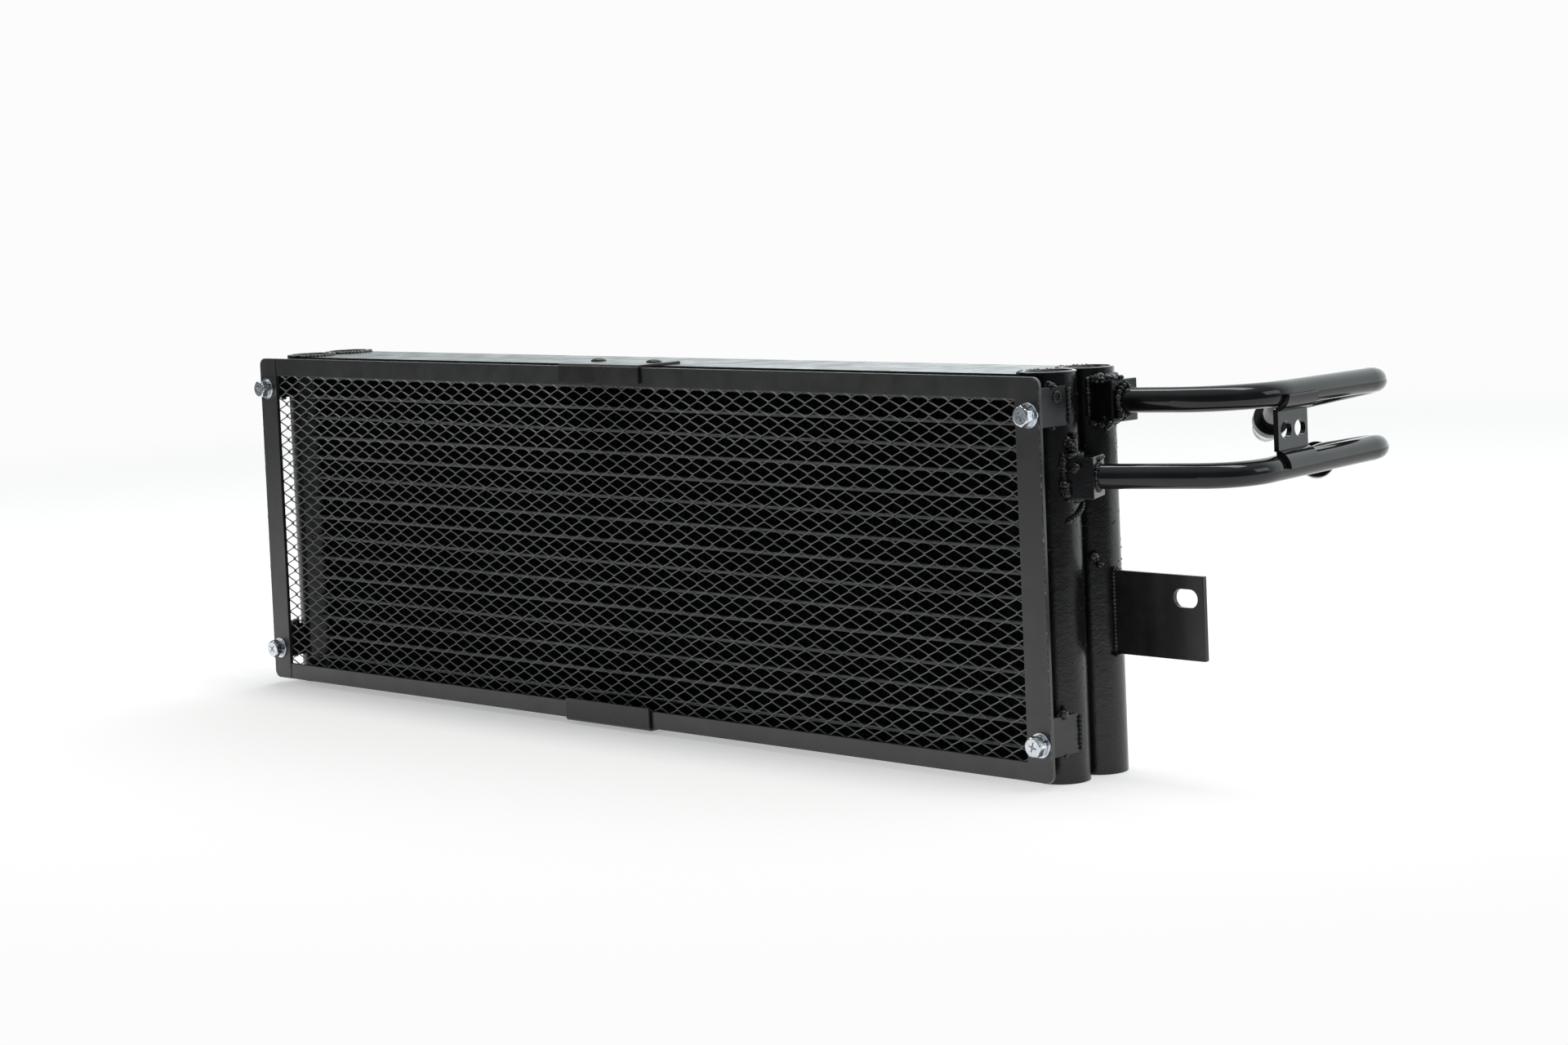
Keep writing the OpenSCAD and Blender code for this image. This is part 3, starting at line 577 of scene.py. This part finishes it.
def expanded_mesh():
    """Raised expanded metal: every strand leans, so each bond steps from back to front."""
    low, high = node_box("guard_mesh")
    columns = round(2 * (high.x - low.x) / MESH_LONG)
    rows = round(2 * (high.z - low.z) / MESH_SHORT)
    x0, half_x = low.x, (high.x - low.x) / columns
    z0, half_z = low.z, (high.z - low.z) / rows
    middle_y = low.y + MESH_MIDDLE
    starts, ends = [], []
    for i in range(columns):
        for j in range(rows):
            x, z = x0 + i * half_x, z0 + j * half_z
            if (i + j) % 2 == 0:
                top, bottom, step = (x, z + half_z), (x + half_x, z), -STRAND_STEP
            else:
                top, bottom, step = (x + half_x, z + half_z), (x, z), STRAND_STEP
            starts.append((top[0], middle_y + step, top[1] - BOND_HALF))
            ends.append((bottom[0], middle_y - step, bottom[1] + BOND_HALF))
    starts, ends = np.array(starts), np.array(ends)
    way = ends - starts
    way /= np.linalg.norm(way, axis=1)[:, None]
    starts, ends = starts - BOND_LAP * way, ends + BOND_LAP * way
    across = np.cross(way, (0, 1, 0))
    across /= np.linalg.norm(across, axis=1)[:, None]
    across[across[:, 2] < 0] *= -1
    depth = np.cross(across, way)
    depth[depth[:, 1] < 0] *= -1
    across, depth = (math.cos(STRAND_TURN) * across + math.sin(STRAND_TURN) * depth,
                     math.cos(STRAND_TURN) * depth - math.sin(STRAND_TURN) * across)
    w, t, c = STRAND_W / 2, STRAND_T / 2, STRAND_CHAMFER
    outline = [(w, -t + c), (w, t - c), (w - c, t), (-w + c, t), (-w, t - c), (-w, -t + c), (-w + c, -t),
               (w - c, -t)]
    sides = len(outline)
    points = np.stack([end + a * across + b * depth for end in (starts, ends) for a, b in outline], 1)
    faces = [(k, (k + 1) % sides, sides + (k + 1) % sides, sides + k) for k in range(sides)]
    faces += [tuple(range(sides - 1, -1, -1)), tuple(range(sides, 2 * sides))]
    every = [tuple(2 * sides * n + v for v in f) for n in range(len(starts)) for f in faces]
    add("expanded_guard_mesh", (points.reshape(-1, 3), every), "mesh_paint", ["guard_mesh"], sharp=25)


def burr_line(low, high, side, corner_r, seed):
    """A thin ragged bar up a side bar's outer edge and round its top corner."""
    edge = high.x if side > 0 else low.x
    inset, front = 0.55, low.y + 0.2
    rng = np.random.default_rng(seed)
    heights = np.arange(low.z + corner_r + 1, high.z - corner_r - 1, 1.2)
    rough = np.convolve(rng.normal(0, 1, len(heights) + 4), np.ones(5) / 5, "valid")
    line = [(edge - side * (inset + 0.10 * g), front, z) for z, g in zip(heights, rough)]
    for a in np.linspace(0, math.pi / 2, 9)[1:]:
        line.append((edge - side * (corner_r - (corner_r - inset) * math.cos(a)), front,
                     high.z - corner_r + (corner_r - inset) * math.sin(a)))
    radii = np.minimum(0.30 + 0.10 * rng.normal(0, 1, len(line)) ** 2, 0.45)
    return tube(line, radii, 6)


def guard_bars():
    """Four flat bars with soft sheared edges, and a rough burr down the outer edge of each side bar."""
    corner_r, lap = 6.0, 0.02
    for side, name in ((-1, "guard_left_bar"), (1, "guard_right_bar")):
        low, high = node_box(name)
        outer = (0, corner_r, corner_r, 0) if side > 0 else (corner_r, 0, 0, corner_r)
        shape = plate([rectangle(low.x, low.z, high.x, high.z, outer)], high.y - low.y, 0.35, 3)
        add(f"{name}_flat", facing_guard(shape, high.y), "guard_paint", [name])
        burr = burr_line(low, high, side, corner_r, 7 + side)
        add(f"{name}_burr", burr, "guard_paint", material=MATERIALS["burr"])
    for name in ("guard_top_bar", "guard_bottom_bar"):
        low, high = node_box(name)
        shape = plate([rectangle(low.x + lap, low.z, high.x - lap, high.z)], high.y - low.y)
        add(f"{name}_flat", facing_guard(shape, high.y), "guard_paint", [name])


def guard_bracket_pieces():
    """Bent sheet brackets that reach from the side bars to the front headers."""
    leg, bend = 3.0, 3.4
    for side, corner in ((-1, "left"), (1, "right")):
        for level in ("bottom", "top"):
            name = f"guard_bracket_{level}_{corner}"
            low, high = node_box(name)
            inner, outer = (low.x, high.x) if side > 0 else (-high.x, -low.x)
            loop = [(inner, low.y), (outer - bend, low.y)]
            loop += [(outer - bend + bend * math.sin(a), low.y + bend - bend * math.cos(a))
                     for a in np.linspace(0, math.pi / 2, 13)[1:]]
            loop += [(outer, high.y), (outer - leg, high.y), (outer - leg, low.y + leg), (inner, low.y + leg)]
            points, faces = plate([loop], high.z - low.z, 0.3, 2)
            points = points + (0, 0, low.z)
            if side < 0:
                points, faces = points * (-1, 1, 1), [f[::-1] for f in faces]
            add(f"{name}_sheet", (points, faces), "bracket_paint", [name])


def bolt_head(seat, top):
    """A hexagon head between two heights, with a chamfered crown and a cross recess."""
    across, sides, rise = 13.0, 96, top - seat
    arm_reach, arm_w = 3.1, 1.25
    angles = np.linspace(0, 2 * math.pi, sides, endpoint=False)
    hexagon = across / 2 / np.cos((angles + math.pi / 6) % (math.pi / 3) - math.pi / 6)
    rings = []
    for height, limit in ((0, 7.0), (0.15, 7.3), (rise - 1.3, 7.6), (rise - 0.75, 7.05), (rise - 0.3, 6.45),
                          (rise - 0.08, 6.0), (rise, 5.6)):
        radius = np.minimum(hexagon, limit)
        rings.append(np.stack([radius * np.cos(angles), radius * np.sin(angles),
                               np.full(sides, seat + height)], 1))
    lobes = np.abs(np.sin(2 * angles)) ** 6
    arm = 0.85 / np.maximum(np.abs(np.sin(angles + math.pi / 4)), np.abs(np.cos(angles + math.pi / 4)))
    slot = np.where(lobes > 0.62, arm_reach, np.minimum(arm_reach, arm_w * arm))
    for radius, drop in ((slot + 0.35, 0), (slot + 0.1, 0.15), (slot * 0.86, 1.1), (slot * 0.45, 1.7)):
        rings.append(np.stack([radius * np.cos(angles), radius * np.sin(angles),
                               np.full(sides, top - drop)], 1))
    return np.vstack(rings), ring_faces(len(rings), sides)


def split_washer(low, high):
    """A square-section spring washer whose two cut ends stand a little apart."""
    gap, slope = 0.09, 0.15
    angles = np.linspace(gap, 2 * math.pi - gap, 72)
    lift = slope * (angles / math.pi - 1)
    section = ((4.25, low + 0.18), (4.25, high - 0.18), (4.45, high), (6.8, high), (7.0, high - 0.2),
               (7.0, low + 0.2), (6.8, low), (4.45, low))
    rings = [[(r * math.cos(a), r * math.sin(a), min(max(z + d, low), high)) for r, z in section]
             for a, d in zip(angles, lift)]
    return np.array(rings).reshape(-1, 3), ring_faces(len(rings), len(section))


def bolt_sets():
    """Bolts, spring washers and flat washers, each with turned or pressed edges."""
    crown, seat = -node_box("guard_bolts")[0].y, -node_box("spring_washers")[0].y
    washer_low, washer_high = node_box("flat_washers")
    washer_r, washer_bore, washer_t = 8.5, 4.4, -washer_low.y
    washer = [(washer_bore, 0), (8.2, 0), (washer_r, 0.25), (washer_r, washer_t - 0.35), (8.2, washer_t),
              (4.6, washer_t), (washer_bore, washer_t - 0.2)]
    heads, flats, springs = [], [], []
    for x in (washer_low.x + washer_r, washer_high.x - washer_r):
        for z in (washer_low.z + washer_r, washer_high.z - washer_r):
            turn = Matrix.Translation((x, 0, z)) @ Matrix.Rotation(math.radians(90), 4, "X")
            spin = Matrix.Rotation(math.radians(11 + x / 30 + z / 7), 4, "Z")
            heads.append(placed(bolt_head(seat, crown), turn @ spin))
            flats.append(placed(revolved(washer, 64), turn))
            springs.append(placed(split_washer(washer_t, seat), turn @ spin))
    add("bolt_heads", merged(*heads), "zinc", ["guard_bolts"])
    add("flat_washer_set", merged(*flats), "zinc", ["flat_washers"])
    add("spring_washer_set", merged(*springs), "zinc", ["spring_washers"])


# ---------------------------------------------------------------- core, headers and caps

# Each header, and the number that seeds its welds
HEADERS = {"header_front_left": 1, "header_rear_left": 2, "header_front_right": 3, "header_rear_right": 4}
HEADER_R, HEADER_WALL = 19.0, 3.0
CORE_TUBES, CORE_TUBE_T = 15, 3.0


def header_middle(node):
    """A header's axis as x and y, its top and its radius."""
    low, high = node_box(node)
    return (low.x + high.x) / 2, (low.y + high.y) / 2, high.z, (high.x - low.x) / 2


def header_tubes():
    """Thick tubes with rolled rims."""
    for node in HEADERS:
        x, y, top, r = header_middle(node)
        inner = r - HEADER_WALL
        profile = [(inner, 0.5), (inner + 0.5, 0), (r - 0.7, 0), (r - 0.2, 0.2), (r, 0.7)]
        profile += [(r, z) for z in np.linspace(6, top - 6, 24)]
        profile += [(r, top - 0.7), (r - 0.2, top - 0.2), (r - 0.7, top), (inner + 0.5, top),
                    (inner, top - 0.5)]
        points, faces = revolved(profile, 160)
        add(f"{node}_tube", (points + (x, y, 0), faces), "header_paint", [node])


def header_caps():
    """A recessed cap at each end of each header, ringed with weld."""
    outer_depth, inner_depth, crown = 2.1, 6, 0.2
    weld_r, weld_inset, weld_drop = 1.35, 0.9, 0.1
    for node, up, first_seed in (("header_bottom_caps", -1, 40), ("header_top_caps", 1, 50)):
        discs, welds = [], []
        for header, seed in HEADERS.items():
            x, y, top, r = header_middle(header)
            end, inner = top if up > 0 else 0, r - HEADER_WALL
            outer, inside = end - up * outer_depth, end - up * inner_depth
            profile = [(0, inside), (inner, inside), (inner, outer), (0, outer + up * crown)]
            points, faces = revolved(profile, 96)
            discs.append((points + (x, y, 0), faces))
            around = np.linspace(0.2 * seed, 0.2 * seed + 2 * math.pi - 0.02, 90)
            ring = [(x + (inner - weld_inset) * math.cos(a), y + (inner - weld_inset) * math.sin(a),
                     outer - up * weld_drop) for a in around]
            welds.append(bead(ring, weld_r, first_seed + seed))
        add(f"{node}_discs", merged(*discs), "header_paint", [node])
        add(f"{node}_weld", merged(*welds), "header_paint", material=MATERIALS["weld"], sharp=180)


def fine_fins():
    """Thin folded strips between the tubes, one row behind the other."""
    fold, sheet = 3.0, 0.16
    strips = CORE_TUBES + 1
    for node in ("front_fins", "rear_fins"):
        low, high = node_box(node)
        fin_h = (high.z - low.z - CORE_TUBES * CORE_TUBE_T) / strips
        columns = int((high.x - low.x) / fold)
        x0 = (low.x + high.x - columns * fold) / 2
        xs = x0 + fold * np.arange(columns + 1)
        lift = np.array((0, 0, sheet))
        rows = []
        for level in range(strips):
            base = low.z + level * (fin_h + CORE_TUBE_T)
            zs = np.where(np.arange(columns + 1) % 2 == 0, base + sheet, base + fin_h - sheet)
            front = np.stack([xs, np.full_like(xs, low.y), zs], 1)
            back = np.stack([xs, np.full_like(xs, high.y), zs], 1)
            rings = np.stack([front - lift / 2, front + lift / 2, back + lift / 2, back - lift / 2], 1)
            rows.append((rings.reshape(-1, 3), ring_faces(columns + 1, 4)))
        add(f"{node}_folded", merged(*rows), "fin_paint", [node])


def rivet(tall, r):
    """A domed rivet head on its shank; the head stands on z = 0."""
    dome = [(0, 0), (r - 0.25, 0), (r, 0.25)]
    dome += [(r * math.cos(a), 0.35 + (tall - 0.35) * math.sin(a))
             for a in np.linspace(0.12, math.pi / 2 - 0.1, 9)]
    dome += [(0, tall)]
    return revolved(dome, 48), revolved([(0, 0), (2.4, 0), (2.4, -7), (0, -7)], 24)


def clips_and_rivets():
    """Bent clips with a soft bend, and their domed rivets."""
    thick, bend, lap = 1.9, 2.4, 0.01
    for name, up in (("top_clip", 1), ("bottom_clip", -1)):
        low, high = node_box(name)
        face = high.z if up > 0 else low.z
        tip = low.z if up > 0 else high.z
        loop = [(low.y, tip)]
        loop += [(low.y + bend - bend * math.cos(a), face - up * (bend - bend * math.sin(a)))
                 for a in np.linspace(0, math.pi / 2, 13)]
        loop += [(high.y, face), (high.y, face - up * thick), (low.y + thick, face - up * thick),
                 (low.y + thick, tip)]
        shape = facing_side(plate([loop], high.x - low.x - 2 * lap, 0.25), low.x + lap)
        add(f"{name}_sheet", shape, "clip_paint", [name])
        low, high = node_box(f"{name}_rivets")
        r = (high.y - low.y) / 2
        heads = []
        for x in (low.x + r, high.x - r):
            (points, faces), (shank, shank_faces) = rivet(2.3, r)
            place = (x, (low.y + high.y) / 2, face)
            if up < 0:
                faces = [f[::-1] for f in faces]
            heads.append((points * (1, 1, up) + place, faces))
            heads.append((shank * (1, 1, up) + place, shank_faces))
        add(f"{name}_rivet_set", merged(*heads), "clip_paint", [f"{name}_rivets"], sharp=30)


# ---------------------------------------------------------------- blocks, tab and end fittings

# Each block's header, its turn about that header in degrees, its width and its height
BLOCKS = {
    "inlet_boss_block": ("header_rear_right", 0, 27, 28.5),
    "outlet_boss_block": ("header_front_right", 24, 28, 28),
}
# From a header's axis to the face that its block's pipe leaves
BLOCK_REACH = 32.6
MOUNTS = {mount["name"]: mount for mount in frame["record"]["mounts"]}


def round_rod(p, d, profile):
    """A turned shape whose axis starts at p and runs along d."""
    d = Vector(d).normalized()
    turn = Vector((0, 0, 1)).rotation_difference(d).to_matrix().to_4x4()
    return placed(revolved(profile, 72), Matrix.Translation(Vector(p)) @ turn)


def boss_blocks():
    """Machined blocks with broken edges, saddled into their headers."""
    for name, (header, turn, width, height) in BLOCKS.items():
        x, y, top, r = header_middle(header)
        low, high = node_box(name)
        middle = (low.z + high.z) / 2
        start = r / 2 + 1
        outline = rectangle(start, -width / 2, BLOCK_REACH, width / 2, (0, 1.2, 1.2, 0))
        place = Matrix.Translation((x, y, middle - height / 2)) @ Matrix.Rotation(math.radians(turn), 4, "Z")
        add(f"{name}_body", placed(plate([outline], height, 0.7, 3), place), "header_paint", [name])


def tab_plate():
    """The mounting tab, with rounded free corners and a slot near its upper one."""
    low, high = node_box("mounting_tab")
    slot_length, slot_w, from_end, from_top = 20, 12.3, 15.2, 15.5
    loops = [rectangle(low.x, low.z, high.x, high.z, (0, 0.8, 0.8, 0)),
             slot_loop(high.x - from_end, high.z - from_top, slot_length, slot_w)]
    shape = facing_guard(plate(loops, high.y - low.y, 0.45, 3), high.y)
    add("mounting_tab_plate", shape, "bracket_paint", ["mounting_tab"])


def end_fittings():
    """A painted shoulder and a bare turned nose at each pipe's end, where the record's mounts say."""
    bore, shoulder_r, shoulder, nose_r, nose = 6.3, 13, 8, 9.65, 18
    for side in ("inlet", "outlet"):
        mount = MOUNTS[f"{side}_nose"]
        d = Vector(mount["axis"])
        start = TO_GUARD @ Vector(mount["pos_m"]) - (shoulder + nose / 2) * d
        collar = [(bore, 0), (shoulder_r - 0.8, 0), (shoulder_r - 0.2, 0.2), (shoulder_r, 0.8),
                  (shoulder_r, shoulder - 0.8), (shoulder_r - 0.2, shoulder - 0.2),
                  (shoulder_r - 0.8, shoulder), (bore, shoulder)]
        tip = shoulder + nose
        rod = [(bore, shoulder), (nose_r - 0.4, shoulder), (nose_r, shoulder + 0.4), (nose_r, tip - 5),
               (nose_r - 0.3, tip - 4.8), (nose_r - 0.3, tip - 4), (nose_r, tip - 3.8), (nose_r, tip - 1),
               (nose_r - 1, tip), (bore + 0.4, tip), (bore, tip - 0.4)]
        add(f"{side}_end_shoulder", round_rod(start, d, collar), "pipe_paint", [f"{side}_end_fitting"])
        add(f"{side}_end_nose", round_rod(start, d, rod), "bare_steel")


def soften(node):
    """Rounds the sharp edges of a CAD node with a modifier; its mesh stays as it is."""
    edge = frame["nodes"][node].modifiers.new("soft_edges", "BEVEL")
    edge.width = 0.0003
    edge.segments = 2
    edge.limit_method = "ANGLE"
    edge.angle_limit = math.radians(50)


def worn_spots():
    """Chips along the right bar beside the lower bolt, where paint has come off."""
    low, high = node_box("guard_right_bar")
    count, first_z, spread = 16, low.z + 20, 22
    rng = np.random.default_rng(77)
    chips = []
    for i in range(count):
        z = first_z + spread * rng.random()
        chips.append(blob((high.x - 0.42, low.y + 0.4 + 2.2 * rng.random(), z),
                          (0.4, 0.3 + 0.5 * rng.random(), 0.6 + 1.3 * rng.random()), 300 + i, 0.2, 6, 8))
    add("right_bar_chips", merged(*chips), "guard_paint", material=MATERIALS["burr"], sharp=180)


# ---------------------------------------------------------------- welds


def on_header(header, angle, z, lift=0.0):
    """A point on a header's skin; the angle is measured from +X towards +Y, in degrees."""
    x, y, top, r = header_middle(header)
    a = math.radians(angle)
    return x + (r + lift) * math.cos(a), y + (r + lift) * math.sin(a), z


def ring_path(p, d, radius, start=0.0):
    """Points of an all but closed circle round the axis p + t d, from start in degrees."""
    sweep, steps = 358, 60
    d = Vector(d).normalized()
    turn = Vector((0, 0, 1)).rotation_difference(d).to_matrix()
    points = []
    for i in range(steps + 1):
        a = math.radians(start + sweep * i / steps)
        points.append(Vector(p) + turn @ Vector((radius * math.cos(a), radius * math.sin(a), 0)))
    return [tuple(q) for q in points]


def block_weld(name, low_z, high_z):
    """The line where a boss block sits on its header: round all four sides."""
    header, turn, width, height = BLOCKS[name]
    gap = 0.6
    half = math.degrees(math.asin(width / 2 / HEADER_R)) + 3
    across = [turn - half + 2 * half * i / 12 for i in range(13)]
    rises = [(high_z - low_z) * i / 8 for i in range(1, 8)]
    path = [on_header(header, a, low_z - gap, gap) for a in across]
    path += [on_header(header, turn + half, low_z + rise, gap) for rise in rises]
    path += [on_header(header, turn + half - 2 * half * i / 12, high_z + gap, gap) for i in range(13)]
    path += [on_header(header, turn - half, high_z - rise, gap) for rise in rises]
    return path


def lumps(centre, spread, count, size, seed):
    """A cluster of weld drops round a centre."""
    rng = np.random.default_rng(seed)
    drops = []
    for i in range(count):
        place = np.asarray(centre) + rng.normal(0, 1, 3) * spread
        drops.append(blob(place, size * rng.uniform(0.6, 1.3) * np.array((1, 1, 0.85)), seed * 31 + i))
    return drops


def spatter(header, angles, heights, count, seed):
    """Small drops of weld metal thrown on a header."""
    rng = np.random.default_rng(seed)
    drops = []
    for i in range(count):
        place = on_header(header, rng.uniform(*angles), rng.uniform(*heights))
        drops.append(blob(place, np.full(3, 0.25 + 0.55 * rng.random() ** 3), seed * 57 + i, 0.2, 5, 7))
    return drops


def add_welds(name, shapes):
    """Adds weld metal as one smooth piece."""
    add(name, merged(*shapes), "header_paint", material=MATERIALS["weld"], sharp=180)


def inlet_welds():
    """Beads and drops round the upper block, and a lumpy ring at its pipe's root."""
    low, high = node_box("inlet_boss_block")
    face = Vector((high.x, (low.y + high.y) / 2, (low.z + high.z) / 2))
    pipe_way = (1, 0.14, 0.02)
    seam = ((-21, -12, 15), (-13, -13.2, 14.6), (-4, -13, 13.8))
    metal = [bead(block_weld("inlet_boss_block", low.z, high.z), 2.2, 101, 0.2, 3),
             bead(ring_path(face + Vector((0.6, 0, 0)), pipe_way, 9.8, 30), 2.3, 102, 0.24, 3.4),
             bead([face + Vector(q) for q in seam], 2.2, 108, 0.24, 4)]
    # Place from the middle of the block's face, spread, number of drops, their size and seed
    for place, spread, count, size, seed in (((1, -4, -9.5), (1, 3, 1.2), 7, 2.3, 103),
                                             ((-13, -10, 14.0), (5, 2, 1.0), 9, 4.2, 104),
                                             ((-4, -6, 15), (3, 3, 0.5), 6, 1.8, 105),
                                             ((-9, -13.3, -13), (3, 1, 2.2), 8, 2.1, 106),
                                             ((-2, -12, -15.6), (2.4, 2, 0.9), 6, 1.9, 107)):
        metal += lumps(face + Vector(place), spread, count, size, seed)
    add_welds("inlet_welds", metal)


def outlet_welds():
    """Beads and drops round the lower block, a ring at its pipe's root and a run below it."""
    low, high = node_box("outlet_boss_block")
    header, turn = BLOCKS["outlet_boss_block"][:2]
    x, y = header_middle(header)[:2]
    middle = (low.z + high.z) / 2
    along = Vector((math.cos(math.radians(turn)), math.sin(math.radians(turn)), 0))
    face = Vector((x, y, middle)) + BLOCK_REACH * along
    root = Vector(on_header(header, -30, middle))
    run = [on_header(header, 55 - 10 * i, low.z - 1 - 1.9 * i, 0.4) for i in range(9)]
    seam = ((0.3, -5.5, 12.6), (0.3, 0.5, 11.9), (0.3, 6, 12.9))
    metal = [bead(block_weld("outlet_boss_block", low.z, high.z), 2.0, 111, 0.2, 3),
             bead(ring_path(face + 0.3 * along, along, 9.2, 60), 1.2, 112, 0.22, 3),
             bead(run, 1.9, 115, 0.2, 3),
             bead([face + Vector(q) for q in seam], 1.5, 116)]
    # Place, spread, number of drops, their size and seed
    for place, spread, count, size, seed in (
            (on_header(header, -12, high.z + 7, 1), (1.6, 1.4, 3), 7, 3.4, 113),
            (on_header(header, -20, high.z + 2, 1.5), (3, 1.5, 1.2), 6, 2.0, 114),
            (root + 2 * along, (1.5, 0.6, 7), 9, 3.2, 118),
            (root + 9 * along + Vector((0, -0.5, 8)), (4, 0.4, 2), 6, 2.4, 119)):
        metal += lumps(place, spread, count, size, seed)
    add_welds("outlet_welds", metal)


def bracket_welds():
    """Beads and drops that hold the guard brackets on the front headers."""
    metal = []
    for side, corner in ((-1, "left"), (1, "right")):
        x, y, top, r = header_middle(f"header_front_{corner}")
        for level in ("bottom", "top"):
            low, high = node_box(f"guard_bracket_{level}_{corner}")
            edge = high.x if side > 0 else low.x
            for k, place in enumerate((edge + side * 0.4, edge - side * 3.4)):
                depth = y - math.sqrt(max(r * r - (place - x) ** 2, 4))
                line = [(place, depth - 0.4, low.z + 1 + i * (high.z - low.z - 2) / 6) for i in range(7)]
                metal.append(bead(line, 1.7, 120 + 7 * side + k + 20 * (level == "top"), 0.2, 3))
            spot_x, spot_y, seed = edge - side * 1.5, y - r + 1.5, side + 4 * (level == "top")
            metal += lumps((spot_x, spot_y, high.z + 1), (1.8, 1.4, 0.8), 5, 2.8, 131 + seed)
            metal += lumps((spot_x, spot_y, low.z - 0.4), (1.2, 1, 0.5), 3, 1.5, 141 + seed)
    low, high = node_box("guard_bracket_top_right")
    ring = (high.x + 0.2, (low.y + high.y) / 2 + 5, high.z - 7)
    metal.append(bead(ring_path(ring, (1, 0, 0), 3.4), 0.9, 149, 0.2, 2.4))
    points, faces = merged(*metal)
    points[:, 0] = np.maximum(points[:, 0], node_box("guard_left_bar")[0].x + 0.1)
    add_welds("bracket_welds", [(points, faces)])


def tab_welds():
    """Beads down both faces of the tab where it meets its header, and drops at their ends."""
    low, high = node_box("mounting_tab")
    x, y, top, r = header_middle("header_rear_right")
    metal = []
    for k, place in enumerate((low.y - 0.5, high.y + 0.5)):
        line = [(x + math.sqrt(r * r - (place - y) ** 2) + 0.6, place, low.z + i * (high.z - low.z) / 8)
                for i in range(9)]
        metal.append(bead(line, 1.6, 151 + k, 0.18, 2.6))
    for k, z in enumerate((low.z - 0.6, high.z + 0.6)):
        metal += lumps((x + r + 1, y, z), (1.2, 1.6, 0.5), 5, 1.5, 155 + k)
    metal += lumps(on_header("header_rear_right", -42, high.z + 8, 0.2), (0.6, 1.4, 2.2), 4, 3.0, 158)
    add_welds("tab_welds", metal)


def side_plate_welds():
    """Beads where the side plates meet the headers, and bridges between the two headers of an end."""
    metal = []
    for name, up in (("top_side_plate", 1), ("bottom_side_plate", -1)):
        low, high = node_box(name)
        z = high.z + 0.1 if up > 0 else low.z - 0.1
        for header, seed in HEADERS.items():
            inward = 180 if "right" in header else 0
            arc = [on_header(header, inward - 62 + 124 * i / 20, z, 0.7) for i in range(21)]
            metal.append(bead(arc, 1.5, 160 + seed + 10 * up, 0.2, 3))
    for corner, side in (("left", -1), ("right", 1)):
        x, front_y, top, r = header_middle(f"header_front_{corner}")
        middle_y = (front_y + header_middle(f"header_rear_{corner}")[1]) / 2
        metal += lumps((x - side * 2, middle_y, top - 2.6), (2.6, 0.7, 0.6), 8, 1.9, 170 + side)
        line = [(x + side * 1.5, middle_y, z) for z in np.linspace(top - 3, top - 22, 8)]
        metal.append(bead(line, 1.5, 175 + side, 0.2, 3))
    add_welds("side_plate_welds", metal)


def header_spatter():
    """Spatter on each header: thick near the blocks, thin at the far end."""
    metal = []
    for header, angles, heights, count, seed in (
            ("header_front_right", (-100, 70), (60, 262), 190, 181),
            ("header_rear_right", (-90, 60), (100, 262), 210, 182),
            ("header_front_left", (130, 290), (150, 262), 40, 183),
            ("header_rear_left", (90, 250), (20, 262), 60, 184)):
        metal += spatter(header, angles, heights, count, seed)
    add_welds("weld_spatter", metal)


make_studio()
expanded_mesh()
guard_bars()
guard_bracket_pieces()
bolt_sets()
header_tubes()
header_caps()
fine_fins()
clips_and_rivets()
boss_blocks()
tab_plate()
end_fittings()
worn_spots()
soften("pipe_tie_bracket")
inlet_welds()
outlet_welds()
bracket_welds()
tab_welds()
side_plate_welds()
header_spatter()

SLOT_OF = {row["node"]: row["material_slot"] for row in frame["record"]["subparts"]}
for node, part in frame["nodes"].items():
    part.data.materials.clear()
    part.data.materials.append(MATERIALS[SLOT_OF[node]])
